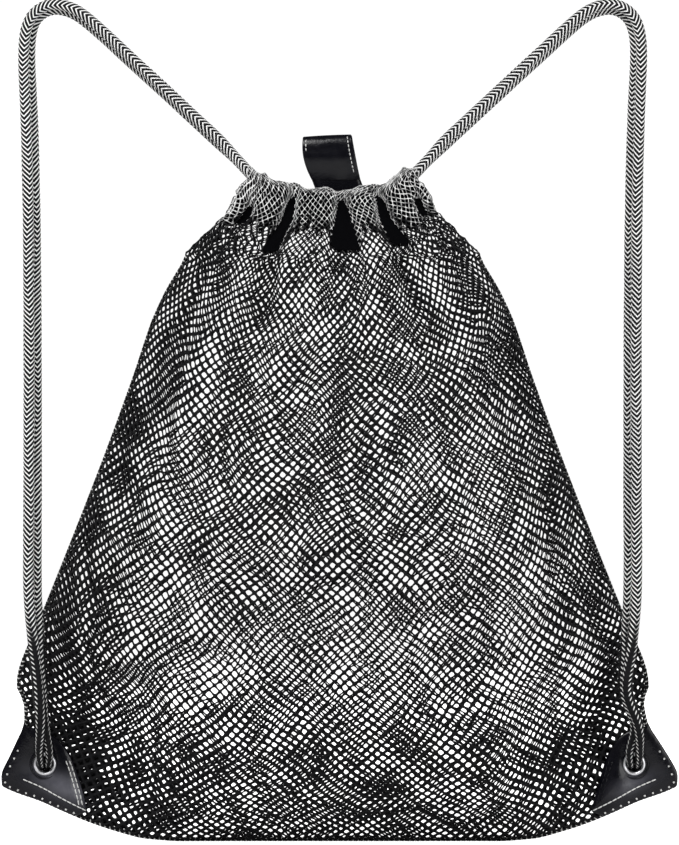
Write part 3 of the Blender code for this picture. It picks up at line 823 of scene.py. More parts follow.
def braid_material():
    return thread_material(
        Shader("flecked_braid", (0.2, 0.2, 0.2), 0.7, specular=0.12),
        scales=(3800.0, 700.0),
        darks=((0.003, 0.003, 0.004), (0.012, 0.012, 0.013)),
        # the light colour is a painted highlight on the crest of every other ply, marked by ply
        lights=((0.80, 0.80, 0.79), (0.98, 0.98, 0.97)),
        marked=("ply", 0.35, 0.70),
        rough=(0.55, 0.85),
        bump=0.0001,
    )


def metal_material():
    s = Shader("silver_metal", (0.8, 0.8, 0.82), 0.2, 1.0)
    scratches = s.noise(2600.0, 4.0)
    s.colour(s.mix(s.noise(300.0), (0.70, 0.70, 0.72), (0.86, 0.86, 0.88)))
    s.roughness(s.spread(scratches, 0.3, 0.7, 0.26, 0.46))
    s.bump(scratches, 0.00001, 0.5)
    return s.material


def edge_material():
    s = Shader("edge_overlock", (0.02, 0.02, 0.02), 0.75, specular=0.10)
    fibres = s.noise(3000.0, 2.0)
    dark = s.mix(fibres, (0.004, 0.004, 0.005), (0.016, 0.016, 0.017))
    light = s.mix(fibres, (0.45, 0.45, 0.44), (0.85, 0.85, 0.83))
    s.colour(s.mix(s.spread(s.attribute("ply"), 0.45, 0.7, 0.0, 1.0), dark, light))
    s.roughness(s.spread(fibres, 0.3, 0.7, 0.6, 0.85))
    s.bump(fibres, 0.0001)
    return s.material


def stitch_material():
    s = Shader("white_stitching", (0.75, 0.75, 0.73), 0.6)
    fibres = s.noise(6000.0, 2.0)
    s.colour(s.mix(fibres, (0.50, 0.50, 0.49), (0.88, 0.88, 0.86)))
    s.roughness(s.spread(fibres, 0.3, 0.7, 0.45, 0.75))
    s.bump(fibres, 0.00006)
    return s.material


net_look = net_material()
tape_look = tape_material()
leather_look = leather_material()
braid_look = braid_material()
metal_look = metal_material()
stitch_look = stitch_material()
edge_look = edge_material()


# Net and hem pieces


CUT_Z = 0.262  # below it the net stays with the bag, above it the net is a piece of its own with its transform baked


def build_side(label, sign):
    outer = lip_rows(sign, GATHER_STANDS, VALLEY_SINKS, 0.0, 1.0, NET_LAP)
    rows = np.concatenate([panel_rows(sign), outer])
    sheet = net_grid(rows)
    highest = sheet[0][:, :, 2].max(axis=1)
    j_cut = int(np.searchsorted(highest, CUT_Z)) // 2
    slack, seed = NET_SLACK[label], 40 + sign
    lower = net_piece(f"{label}_net", sheet, 0, j_cut, net_look, slack, seed)
    upper = net_piece(f"{label}_net_hem", sheet, j_cut, math.inf, net_look, slack, seed)
    settle(lower, "net", "bag", f"{label}_mesh_panel")
    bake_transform(upper)
    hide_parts(f"{label}_channel_hem")


def build_sleeve(label, sign):
    """The plain tape that lines a lip. In the valleys it lies in front of the net, a dark sheet that
    stands in for the shade deep in the gathers.
    """
    foot = tape_foot(ACROSS)[None, :]
    # Its valleys are shallower than the net's, so the tape comes in front of the net there: painted shade.
    rows = lip_rows(sign, 0.0006, 0.0012, SLEEVE_INSET, 0.0, SLEEVE_LAP, foot)[:, 6:-6:2]
    height, width = rows.shape[:2]
    index = np.arange(height * width).reshape(height, width)
    faces = np.stack([index[:-1, :-1], index[:-1, 1:], index[1:, 1:], index[1:, :-1]], axis=-1)
    if sign > 0:
        faces = faces[..., ::-1]
    obj = add_piece(f"{label}_casing_tape", rows.reshape(-1, 3), faces.reshape(-1, 4), tape_look)
    shell = obj.modifiers.new("thickness", "SOLIDIFY")
    shell.thickness = SLEEVE_T
    shell.offset = -1.0
    settle(obj, "tape", f"{label}_lip", f"{label}_facing_tape")


for label, sign in PANELS:
    build_side(label, sign)
    build_sleeve(label, sign)


# Cords


def strap_centre():
    """The pair's centre line over the strap loop, on the cord's own side: rows of x, y, z."""
    flat = smooth_path((STRAP_START, *STRAP_CURVE, STRAP_END), 2)
    top = flat[:, 1].max()
    drop = ramp(top - flat[:, 1], 0.0, top - STRAP_END[1])
    beyond = np.arange(len(flat)) >= int(np.argmax(flat[:, 1]))
    y = np.where(beyond, -TAIL_Y * drop, 0.0)
    return np.stack([flat[:, 0], y, flat[:, 1]], axis=-1)


def strand_places(strand):
    """The centre line of one strand of a strap loop, from the hem to the corner."""
    centre = strap_centre()
    spreads = np.linspace(STRAND_SPREAD_TOP, STRAND_SPREAD_END, len(centre))
    tangents = np.gradient(centre, axis=0)
    across = unit(np.stack([tangents[:, 2], 0.0 * spreads, -tangents[:, 0]], axis=-1))
    return centre + strand * (spreads[:, None] * across + np.array([0.0, STRAND_APART, 0.0]))


def tail_places(side, strand, eyelet):
    """From the foot of the strap loop through the eyelet: rows of x, y, z, radius."""
    eyelet_x = side * (eyelet.x - MIDDLE_X)
    spread, apart = strand * STRAND_SPREAD_END, strand * STRAND_APART
    pinch = strand * PINCHED_APART
    return (
        (0.1502 - 0.8 * spread, -0.0205 + apart, 0.1020, CORD_R),
        (0.1485 - 0.4 * spread, -0.0205 + apart, 0.0780, CORD_R),
        (eyelet_x + 0.0008 - 0.4 * spread, -0.0172 + 0.9 * apart, 0.0600, 0.0027),
        (eyelet_x - 1.2 * pinch, -0.0108 + 0.35 * apart, 0.0465, 0.0022),
        (eyelet_x - pinch, -0.0052, eyelet.z, PINCHED_R),
        (eyelet_x - pinch, 0.0010, eyelet.z, PINCHED_R),
        (eyelet_x - pinch, 0.0064, eyelet.z, PINCHED_R),
    )


def hem_places(strand, slot_y):
    """Down from the strap loop into the channel on the cord's own side, along it and half way back."""
    start, end_z = STRAP_START, float(channel_z(CHANNEL_HALF_W))
    rows = []
    for share, pull in ((0.46, 0.25), (0.92, 0.75)):
        x = start[0] + (CHANNEL_HALF_W - HEM_MOUTH_INSET - start[0]) * share
        z = start[1] + (end_z - start[1]) * share
        rows.append((x, strand * (STRAND_APART + (slot_y - STRAND_APART) * pull), z))
    for x in np.linspace(CHANNEL_HALF_W * HEM_RUN[0], -CHANNEL_HALF_W * HEM_RUN[1], 9):
        rows.append((x, strand * slot_y, float(channel_z(x))))
    for turn in np.linspace(0.15, 1.0, 6) * math.pi / 2:
        x = -CHANNEL_HALF_W * HEM_RUN[2] - TURN_FLAT * slot_y * math.sin(turn)
        z = float(channel_z(x)) - TURN_DROP * math.sin(turn)
        rows.append((x, strand * slot_y * math.cos(turn), z))
    return rows


def evenly(path, step):
    """A path of rows (x, y, z, ...) again, with points this far apart."""
    lengths = running_length(path[:, :3])
    places = np.linspace(0.0, lengths[-1], int(lengths[-1] / step) + 1)
    return places, np.stack([np.interp(places, lengths, column) for column in path.T], axis=-1)


def path_frames(path, start, towards):
    """Two unit directions square to the path, carried both ways from the point `start`."""
    tangents = unit(np.gradient(path, axis=0))
    first = np.zeros_like(path)
    facing = np.array(towards, float)
    order = list(range(start, len(path))) + [None] + list(range(start, -1, -1))
    for i in order:
        if i is None:
            facing = first[start]
            continue
        facing = facing - tangents[i] * (facing @ tangents[i])
        facing = facing / np.linalg.norm(facing)
        first[i] = facing
    return first, np.cross(tangents, first)


class Rope:
    """A plaited cord along a path, which can be cut into pieces that meet exactly."""

    def __init__(
        self,
        path,
        radii,
        start=0,
        towards=(0.0, -1.0, 0.0),
        pitch=PLY_PITCH,
        rise=PLY_RISE,
        vees=2,
        sides=CORD_SIDES,
        wobble=0.45,
        light=1.0,
        seed=0,
        dotted_below=(-2.0, -1.0),
    ):
        both = np.column_stack([path, np.broadcast_to(radii, len(path))])
        self.places, rows = evenly(both, ROPE_STEP)
        self.path, self.radii = rows[:, :3], rows[:, 3]
        start = int(np.argmin(np.linalg.norm(self.path - path[start], axis=1)))
        self.first, self.second = path_frames(self.path, start, towards)
        self.pitch, self.rise, self.vees, self.sides = pitch, rise, vees, sides
        self.wobble, self.light, self.seed = wobble, light, seed
        self.dotted_below = dotted_below

    def at(self, place):
        return np.stack([np.interp(place, self.places, c) for c in self.path.T], axis=-1)

    def place_of(self, point):
        return self.places[int(np.argmin(np.linalg.norm(self.path - point, axis=1)))]

    def rings(self, low, high, lift):
        """Lengths along the path of the points of each ring, which zigzag as the plies do."""
        first_row = math.floor((low - self.rise) / self.pitch) * PLY_ROWS
        last_row = math.ceil(high / self.pitch) * PLY_ROWS
        rows = np.arange(first_row, last_row + 1)
        s = np.clip(rows[:, None] * self.pitch / PLY_ROWS + lift, low, high)
        keep = (np.ptp(s, axis=1) > 0) | (s[:, 0] > low) & (s[:, 0] < high)
        inside = np.flatnonzero(keep)
        return s[max(inside[0] - 1, 0) : inside[-1] + 2]

    def around(self, s, bulk):
        """The points of the rings, with this share of the cord's radius."""
        round_once = np.arange(self.sides) / self.sides
        turn = 2 * math.pi * round_once + self.wobble * np.sin(s / WOBBLE_LENGTH + self.seed)
        grid = [np.interp(s, self.places, column) for column in (*self.path.T, self.radii)]
        ahead = [np.interp(s, self.places, column) for column in (*self.first.T, *self.second.T)]
        radius = grid[3] * bulk
        points = []
        for k in range(3):
            points.append(grid[k] + radius * (np.cos(turn) * ahead[k] + np.sin(turn) * ahead[k + 3]))
        return np.stack(points, axis=-1), grid[2]

    def ply_light(self, phase, part, ridge, z):
        """Every other ply is light: on the braids a painted highlight along the ply's crest, on the
        overlocked edges the thread's own white. Low on the cord only a fleck of it is.
        """
        light = np.where(np.floor(phase + 1e-6) % 2 == 0, 1.0, 0.0) * ridge * self.light
        flecks = np.sin(math.pi * ((2.0 * part) % 1.0)) ** 5.0
        dotted = 1.0 - ramp(z, *self.dotted_below)
        return light * (1.0 - dotted * (1.0 - flecks))

    def piece(self, name, low, high, material):
        """The stretch between two lengths along the path, closed at both ends."""
        part = (np.arange(self.sides) / self.sides * self.vees) % 1.0
        lift = self.rise * (1.0 - np.abs(2.0 * part - 1.0))
        s = self.rings(low, high, lift)
        phase = (s - lift) / self.pitch
        ridge = np.sin(math.pi * (phase % 1.0)) ** 0.6
        seam = np.minimum(part, 1.0 - part) < 0.5 / self.sides * self.vees
        middle = np.abs(part - 0.5) < 0.5 / self.sides * self.vees
        bulk = (1.0 - PLY_RELIEF + PLY_RELIEF * ridge) * np.where(seam | middle, SEAM_PINCH, 1.0)
        points, z = self.around(s, bulk)
        index = np.arange(s.size).reshape(s.shape)
        nxt = np.roll(index, -1, axis=1)
        faces = np.stack([index[:-1], nxt[:-1], nxt[1:], index[1:]], axis=-1).reshape(-1, 4)
        ends = np.stack([points[0].mean(axis=0), points[-1].mean(axis=0)])
        obj = add_piece(name, np.vstack([points.reshape(-1, 3), ends]), faces, material)
        # ply marks the braid's painted highlights and the overlock's white thread
        light = self.ply_light(phase, part, ridge, z)
        set_attribute(obj, "ply", np.concatenate([light.ravel(), [0.0, 0.0]]))
        caps = [(*pair, s.size) for pair in zip(nxt[0], index[0])]
        caps += [(*pair, s.size + 1) for pair in zip(index[-1], nxt[-1])]
        close_ends(obj, caps)
        return obj


def close_ends(obj, caps):
    """Adds the end triangles, and removes points and faces that have no size."""
    shape = bmesh.new()
    shape.from_mesh(obj.data)
    shape.verts.ensure_lookup_table()
    for corners in caps:
        shape.faces.new([shape.verts[i] for i in corners])
    bmesh.ops.remove_doubles(shape, verts=shape.verts, dist=1e-6)
    bmesh.ops.dissolve_degenerate(shape, edges=shape.edges, dist=1e-6)
    bmesh.ops.recalc_face_normals(shape, faces=shape.faces)
    shape.to_mesh(obj.data)
    shape.free()
    obj.data.shade_smooth()


def own_side(points, side):
    return np.asarray(points) * np.array([side, 1.0, 1.0]) + np.array([MIDDLE_X, 0.0, 0.0])


def bend_stretch(piece, a, b, body, other):
    """The stretch from a, on one body, to b, on the other, with its transform baked into its points; it is
    not bent.
    """
    inward = (b - a) * BEND_INSET
    ends = (a + inward, b - inward)
    if body != "bag":
        body, other, ends = other, body, ends[::-1]
    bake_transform(piece)


def build_strand(label, side, slot_y, place, strand):
    """One strand of a cord, in stretches that move with different bodies."""
    low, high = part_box(f"{label}_eyelet")
    tail = list(tail_places(side, strand, (low + high) / 2))[::-1]
    strap = [(*row, CORD_R) for row in strand_places(strand)[::-1]]
    hem = [(*row, CORD_R) for row in hem_places(strand, slot_y)]
    rows = smooth_path(tail + strap + hem, 6)
    path = own_side(rows[:, :3], side)
    turn_seed = 2.0 * side + strand
    rope = Rope(path, rows[:, 3], len(path) // 4, seed=turn_seed, dotted_below=CORD_DARKENS)
    marks = (strap[0], strap[-1], hem[1], hem[10])
    foot, top, mouth, far = [rope.place_of(own_side(row[:3], side)) for row in marks]
    name, lip, loop = f"{label}_{place}", f"{place}_lip", f"{label}_strap"
    stretches = (
        ("tail_braid", 0.0, foot - STRAP_BEND, "bag", None, ("cord_tail",)),
        ("strap_foot_braid", foot - STRAP_BEND, foot + STRAP_BEND, "bag", loop, ()),
        ("strap_braid", foot + STRAP_BEND, top - HEAD_BEND, loop, None, ("strap_cord",)),
        ("strap_head_braid", top - HEAD_BEND, top - 0.001, loop, "bag", ()),
        ("elbow_braid", top - 0.001, mouth, "bag", lip, ("cord_elbow",)),
        ("hem_braid", mouth, far, lip, None, ("hem_cord",)),
        ("turn_braid", far, rope.places[-1], lip, "bag", ()),
    )
    for part, start, stop, body, other, nodes in stretches:
        piece = rope.piece(f"{name}_{part}", start, stop, braid_look)
        if other is None:
            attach(piece, body)
        elif part == "turn_braid":
            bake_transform(piece)
        else:
            bend_stretch(piece, rope.at(start), rope.at(stop), body, other)
        if nodes:
            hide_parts(*[f"{name}_{node}" for node in nodes])


def build_knot(label, side):
    """An overhand knot behind the eyelet, with two short cord ends under it."""
    low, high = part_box(f"{label}_cord_knot")
    centre = (low + high) / 2
    ball_z = high.z - KNOT_TOP
    t = np.linspace(0.15, 2 * math.pi - 0.15, 90)
    x = (np.sin(t) + 2 * np.sin(2 * t)) * KNOT_SIZE
    z = (np.cos(t) - 2 * np.cos(2 * t)) * KNOT_SIZE
    y = -np.sin(3 * t) * KNOT_DEPTH
    knot = np.stack([centre.x + x, KNOT_Y + y, ball_z + z], axis=-1)
    rope = Rope(knot, KNOT_CORD_R, towards=(0.0, 1.0, 0.0), wobble=0.2)
    piece = rope.piece(f"{label}_cord_knot_wrap", 0.0, rope.places[-1], braid_look)
    settle(piece, "braid", "bag", f"{label}_cord_knot")
    for end in (-1, 1):
        rows = (
            (centre.x + end * 0.0010, 0.0150, ball_z + 0.0010),
            (centre.x + end * 0.0030, 0.0152, ball_z - 0.0050),
            (centre.x + end * 0.0050, 0.0160, ball_z - 0.0105),
            (centre.x + end * 0.0052, 0.0166, low.z + 0.0002),
        )
        path = smooth_path(rows, 8)
        rope = Rope(path, CORD_END_R, towards=(0.0, 1.0, 0.0), wobble=0.2, seed=end)
        which = "outer" if end * side > 0 else "inner"
        piece = rope.piece(f"{label}_cord_end_{which}", 0.0, rope.places[-1], braid_look)
        settle(piece, "braid", "bag")


for label, side, slot_y in (("left", -1, OUTER_SLOT_Y), ("right", 1, INNER_SLOT_Y)):
    for place, strand in PANELS:
        build_strand(label, side, slot_y, place, strand)
    build_knot(label, side)


# Rolled and overlocked edges

OVERLOCK = {"rise": 0.0013, "vees": 1, "sides": 12, "wobble": 0.5, "light": 0.8}
SIDE_THREAD_PITCH, BOTTOM_THREAD_PITCH = 0.0011, 0.0013


def build_edges():
    zs = np.linspace(TIP_Z + 0.0006, PANEL_TOP + 0.001, 60)
    for label, side in SIDES:
        path = np.stack([side_x(side, zs, EDGE_R), 0.0 * zs, zs], axis=-1)
        rope = Rope(path, EDGE_R, pitch=SIDE_THREAD_PITCH, seed=side, **OVERLOCK)
        piece = rope.piece(f"{label}_side_edge", 0.0, rope.places[-1], edge_look)
        settle(piece, "binding", "bag", f"{label}_side_seam")
    x = np.linspace(seam_low.x + EDGE_R, seam_high.x - EDGE_R, 90)
    path = np.stack([x, 0.0 * x, base_z(x) + EDGE_R], axis=-1)
    rope = Rope(path, EDGE_R, pitch=BOTTOM_THREAD_PITCH, **OVERLOCK)
    piece = rope.piece("bottom_edge", 0.0, rope.places[-1], edge_look)
    settle(piece, "binding", "bag", "bottom_seam")


build_edges()


# Stitching

STITCH_SIDES, STITCH_STEPS = 6, 5
# (length of a stitch, gap to the next, radius of the thread)
LOWER_THREAD, HEM_THREAD = (0.0026, 0.0002, 0.00036), (0.0010, 0.0034, 0.00055)
INNER_THREAD, LOOP_THREAD = (0.0026, 0.0004, 0.0003), (0.0016, 0.0006, 0.0003)


def stitch_line(name, path, outward, thread, material):
    """A row of short thread loops that rise out of a surface along a path and go back in."""
    length, gap, radius = thread
    lengths = running_length(path)
    outward = np.asarray(outward, float)
    points, faces = [], []
    sides, steps = STITCH_SIDES, STITCH_STEPS
    start = gap / 2
    while start + length < lengths[-1]:
        ts = np.linspace(start, start + length, steps)
        centre = np.stack([np.interp(ts, lengths, c) for c in path.T], axis=-1)
        side_way = np.cross(unit(centre[-1] - centre[0]), outward)
        rise = np.sin(np.linspace(0.12, math.pi - 0.12, steps)) * radius * 1.1
        base = len(points)
        for k in range(steps):
            middle = centre[k] + outward * (rise[k] - 0.4 * radius)
            wide = radius * (0.55 if k in (0, steps - 1) else 1.0)
            for i in range(sides):
                turn = 2 * math.pi * i / sides
                points.append(middle + wide * (math.cos(turn) * outward + math.sin(turn) * side_way))
        faces += tube_faces(steps, sides, base)
        start += length + gap
    obj = add_piece(name, points, faces, material)
    return obj


# Corner patches, eyelets and their washers

PATCH_T = 0.0012
PATCH_FACE_Y = 0.0021
PATCH_INNER_EDGE = (
    (0.1572, 0.0585),
    (0.1455, 0.0545),
    (0.1370, 0.0440),
    (0.1310, 0.0260),
    (0.1285, 0.0150),
)
PATCH_SWELL = 0.0030
PATCH_POINTS = 120  # round the patch
INNER_STITCH_TOP, INNER_STITCH_FOOT = 0.0440, 0.0046  # height in the bag, and over the bottom edge
INNER_STITCH_INSETS = (("inner", 0.0016), ("outer", 0.0034))
HEM_STITCH_RISE, TIP_STITCH_INSET = 0.0019, 0.0030
LOWER_STITCH_RISE = ((0.1290, 0.1630), (0.0056, 0.0086))  # distance out, height over the bottom edge
# Sections of the leather: (share of the way from the hole to the edge, height over the panel)
PATCH_SECTION = (
    *((0.0, 0.2), (0.0, 1.0), (0.1, 1.06), (0.3, 1.3), (0.5, 1.45), (0.7, 1.45)),
    *((0.84, 1.25), (0.93, 1.05), (0.975, 0.92), (0.995, 0.7), (1.0, 0.35), (1.0, 0.0)),
)
EYELET_HOLE_R, EYELET_BORE_R, EYELET_FLANGE_T = 0.0048, 0.0040, 0.0012
COLLAR_R, COLLAR_HALF_T, COLLAR_H = 0.0073, 0.0006, 0.0010  # the ridge pressed up round an eyelet


def patch_outline(side):
    """Round the patch from the top of its inner edge, as (x, z)."""
    x = side * np.linspace(PATCH_INNER_EDGE[-1][0], TIP_X, 8)
    bottom = np.column_stack([x, base_z(x) + 0.0004])
    outer_z = np.linspace(TIP_Z + 0.0006, 0.0610, 14)
    outer = np.column_stack([side_x(side, outer_z), outer_z])
    corners = smooth_path(PATCH_INNER_EDGE, 5)
    corners = np.column_stack([side * corners[:, 0] + middle_x(corners[:, 1]), corners[:, 1]])
    return np.vstack([corners, bottom[1:], outer])


def resample_closed(outline, count):
    closed = np.vstack([outline, outline[:1]])
    lengths = running_length(closed)
    places = np.linspace(0.0, lengths[-1], count, endpoint=False)
    return np.stack([np.interp(places, lengths, c) for c in closed.T], axis=-1)


def drop_onto(skin, xs, zs, sign):
    """The points of a surface that are seen at these places from the front, or from the back."""
    found = []
    for x, z in zip(xs, zs):
        hit = first_hit(skin, (x, sign * 1.0, z), (0.0, -sign, 0.0))
        if hit is not None:
            found.append(hit)
    return np.array(found)


# side: (distance out, height, half width, half height, strength) of the painted sheen, a greyer leather
# colour
PAINTED_SHEEN = {
    "left": (0.1410, 0.0285, 0.0140, 0.0060, 1.0),
    "right": (0.1500, 0.0300, 0.0100, 0.0045, 0.6),
}
PAINTED_SHEEN_SLANT = 0.40


def paint_patch_sheen(obj, label, side):
    """Marks the painted sheen, a greyer leather colour, between the eyelet and the lower stitches."""
    out_at, up_at, wide, high, strength = PAINTED_SHEEN[label]
    points = np.array([v.co for v in obj.data.vertices])
    out = side * (points[:, 0] - middle_x(points[:, 2])) - out_at
    up = points[:, 2] - up_at - PAINTED_SHEEN_SLANT * out
    set_attribute(obj, "painted_sheen", strength * np.exp(-((out / wide) ** 2) - (up / high) ** 2))


def build_patch(label, side, place, sign):
    eye_x, eye_z = eyelet_place(label)
    outline = resample_closed(patch_outline(side), PATCH_POINTS)
    turn = np.arctan2(outline[:, 1] - eye_z, outline[:, 0] - eye_x)
    way = np.column_stack([np.cos(turn), np.sin(turn)])
    hole = np.array([eye_x, eye_z]) + EYELET_HOLE_R * way
    rings = []
    for share, high_share in PATCH_SECTION:
        x, z = (hole + (outline - hole) * share).T
        inward = ramp(-side * (x - eye_x), -0.004, 0.010) * ramp(0.052 - z, 0.0, 0.03)
        swell = inward * math.sin(math.pi * math.sqrt(share)) * (high_share >= 1.0)
        y = PATCH_FACE_Y + PATCH_T * high_share + PATCH_SWELL * swell
        rings.append(np.column_stack([x, sign * y, z]))
    points = np.vstack(rings)
    faces = band_faces(len(rings), PATCH_POINTS, closed=True)
    obj = add_piece(f"{label}_{place}_patch", points, faces, leather_look)
    sharpen(obj)
    settle(obj, "leather", "bag", f"{label}_{place}_corner_patch")
    # paints a sheen into the leather's colour
    paint_patch_sheen(obj, label, side)
    skin = BVHTree.FromPolygons([tuple(p) for p in points], faces)
    stitch_patch(label, side, place, sign, skin)


def stitch_patch(label, side, place, sign, skin):
    """The stitches of a patch: along its lower edge, round its rim and up its inner edge."""
    name, out = f"{label}_{place}_patch", (0.0, float(sign), 0.0)
    rows = []
    xs = side * np.linspace(*LOWER_STITCH_RISE[0], 40)
    line = drop_onto(skin, xs, base_z(xs) + np.interp(np.abs(xs), *LOWER_STITCH_RISE), sign)
    rows.append(("lower", line, LOWER_THREAD, stitch_look))
    xs = side * np.linspace(LOWER_STITCH_RISE[0][0], TIP_X - 0.0012, 40)
    hem = drop_onto(skin, xs, base_z(xs) + HEM_STITCH_RISE, sign)
    tip_z = np.linspace(TIP_Z + 0.0040, TIP_Z + 0.0200, 12)
    tip = drop_onto(skin, side_x(side, tip_z, TIP_STITCH_INSET), tip_z, sign)
    rows.append(("hem", np.vstack([hem, tip]), HEM_THREAD, stitch_look))
    edge = smooth_path(PATCH_INNER_EDGE, 6)[4:]
    for row, inset in INNER_STITCH_INSETS:
        line_x = side * (edge[:, 0] + inset) + middle_x(edge[:, 1])
        above = (edge[:, 1] > base_z(line_x) + INNER_STITCH_FOOT) & (edge[:, 1] < INNER_STITCH_TOP)
        line = drop_onto(skin, line_x[above], edge[above, 1], sign)
        rows.append((row, line, INNER_THREAD, stitch_look if label == "left" else leather_look))
    for row, line, thread, look in rows:
        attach(stitch_line(f"{name}_{row}_stitches", line, out, thread, look), "bag")


def turned_ring(name, centre, section, material, turns=64):
    """A ring turned about a line along Y, from (radius, y) points round its section."""
    points = []
    for i in range(turns):
        angle = 2 * math.pi * i / turns
        for radius, y in section:
            x = centre[0] + radius * math.cos(angle)
            z = centre[1] + radius * math.sin(angle)
            points.append((x, y, z))
    obj = add_piece(name, points, band_faces(turns, len(section), closed=True), material)
    sharpen(obj, 55)
    return obj


def rounded_ring(inner, outer, near, far, steps=9):
    """The section of a rolled flange: flat at `near` and domed towards `far`."""
    middle, half = (inner + outer) / 2, (outer - inner) / 2
    points = []
    for angle in np.linspace(0.0, math.pi, steps):
        points.append((middle + half * math.cos(angle), near + (far - near) * math.sin(angle)))
    return points


def build_eyelet(label):
    low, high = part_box(f"{label}_eyelet")
    centre = eyelet_place(label)
    outer = (high.x - low.x) / 2
    flange = low.y + EYELET_FLANGE_T
    section = rounded_ring(EYELET_BORE_R, outer, flange, low.y)
    section += [
        (EYELET_BORE_R, flange + 0.0002),
        (EYELET_BORE_R, high.y - 0.0002),
        (EYELET_BORE_R + 0.0003, high.y),
        (EYELET_BORE_R + 0.0005, high.y - 0.0002),
        (EYELET_BORE_R + 0.0005, flange + 0.0001),
    ]
    ring = turned_ring(f"{label}_eyelet_ring", centre, section, metal_look)
    settle(ring, "metal", "bag", f"{label}_eyelet")
    skin_y = -(PATCH_FACE_Y + PATCH_T * 1.05)
    collar_inner, collar_outer = COLLAR_R - COLLAR_HALF_T, COLLAR_R + COLLAR_HALF_T
    section = rounded_ring(collar_inner, collar_outer, skin_y + 0.0003, skin_y - COLLAR_H)
    collar = turned_ring(f"{label}_eyelet_collar", centre, section, leather_look)
    settle(collar, "leather", "bag")
    low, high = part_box(f"{label}_eyelet_washer")
    section = rounded_ring(EYELET_BORE_R + 0.0007, outer, low.y, high.y)
    washer = turned_ring(f"{label}_washer_ring", centre, section, metal_look)
    settle(washer, "metal", "bag", f"{label}_eyelet_washer")


for label, side in SIDES:
    build_eyelet(label)
    for place, sign in PANELS:
        build_patch(label, side, place, sign)


# Hang loop

LOOP_W, LOOP_T, LOOP_H = 0.0250, 0.0016, 0.0225
LOOP_LEAN, LOOP_BULGE, LOOP_TILT = -0.0044, 0.07, 0.0012
LOOP_FOOT = (MIDDLE_X + 0.0025, 0.0100, 0.3376)
LOOP_SHIFT = -0.0008  # of the whole loop, along X
TAB_DEPTH, TAB_HALF_T, TAB_SIDES = 0.0085, 0.0026, 28  # the sewn end of the loop


def bend_loop(obj):
    """Bakes the loop's transform into its points; the leather is not bent."""
    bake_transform(obj)


def loop_middle():
    """The middle of the strip's thickness, from the front foot over the top to the back foot."""
    half, foot_half, crown = 0.0045 - LOOP_T / 2, 0.0028 - LOOP_T / 2, LOOP_H - LOOP_T / 2
    front = [
        (-foot_half, 0.0),
        (-half + 0.0006, 0.28 * LOOP_H),
        (-half, 0.50 * LOOP_H),
        (-half + 0.0003, 0.66 * LOOP_H),
        (-0.80 * half, 0.80 * LOOP_H),
    ]
    shoulder = [(-0.56 * half, crown - 0.0014), (-0.24 * half, crown - 0.0002)]
    top = shoulder + [(-y, h) for y, h in reversed(shoulder)]
    back = [(-y, h) for y, h in reversed(front)]
    return smooth_path(front + top + back, 6)


def loop_place(across, y, height):
    rise = height / LOOP_H
    lean = LOOP_LEAN * (1.0 - (1.0 - rise) ** 2) + LOOP_SHIFT
    wide = 1.0 + LOOP_BULGE * math.sin(math.pi * rise)
    tilt = LOOP_TILT * across / LOOP_W * rise
    return (LOOP_FOOT[0] + across * wide + lean, LOOP_FOOT[1] + y, LOOP_FOOT[2] + height + tilt)


def build_hang_loop():
    middle = loop_middle()
    tangents = unit(np.gradient(middle, axis=0))
    outward = np.column_stack([-tangents[:, 1], tangents[:, 0]])
    # (share of the half width, share of the half thickness) round the strip's rounded edges
    round_edge = [(0.965, 1.0), (0.99, 0.75), (1.0, 0.3), (1.0, -0.3), (0.99, -0.75), (0.965, -1.0)]
    flat = np.linspace(-0.93, 0.93, 9)
    section = [(x, 1.0) for x in flat] + round_edge + [(x, -1.0) for x in flat[::-1]]
    section += [(-x, t) for x, t in round_edge[::-1]]
    rings = []
    for (y, height), (oy, oh) in zip(middle, outward):
        ring = []
        for x, t in section:
            crown = 0.00022 * (1.0 - x * x)
            lift = t * LOOP_T / 2 + crown
            ring.append(loop_place(x * LOOP_W / 2, y + oy * lift, height + oh * lift))
        rings.append(ring)
    points = [p for ring in rings for p in ring]
    faces = tube_faces(len(rings), len(section))
    obj = add_piece("hang_loop_strip", points, faces, leather_look)
    sharpen(obj)
    bend_loop(obj)
    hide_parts("hang_loop")
    stitch_loop(middle, outward)


def stitch_loop(middle, outward):
    """Two rows of stitches on each leg of the loop; the left rows start high up, as in the photo."""
    skin = LOOP_T / 2 + 0.0002
    for label, across in (("right", 0.40), ("left", -0.43)):
        for leg, rows in (("front", slice(3, 34)), ("back", slice(-34, -3))):
            line = []
            for (y, height), (oy, oh) in zip(middle[rows], outward[rows]):
                line.append(loop_place(across * LOOP_W, y + oy * skin, height + oh * skin))
            line = np.array(line)
            if label == "left":
                line = line[line[:, 2] > LOOP_FOOT[2] + 0.62 * LOOP_H]
            out = (0.0, -1.0 if leg == "front" else 1.0, 0.0)
            name = f"hang_loop_{label}_{leg}_stitches"
            bend_loop(stitch_line(name, line, out, LOOP_THREAD, stitch_look))


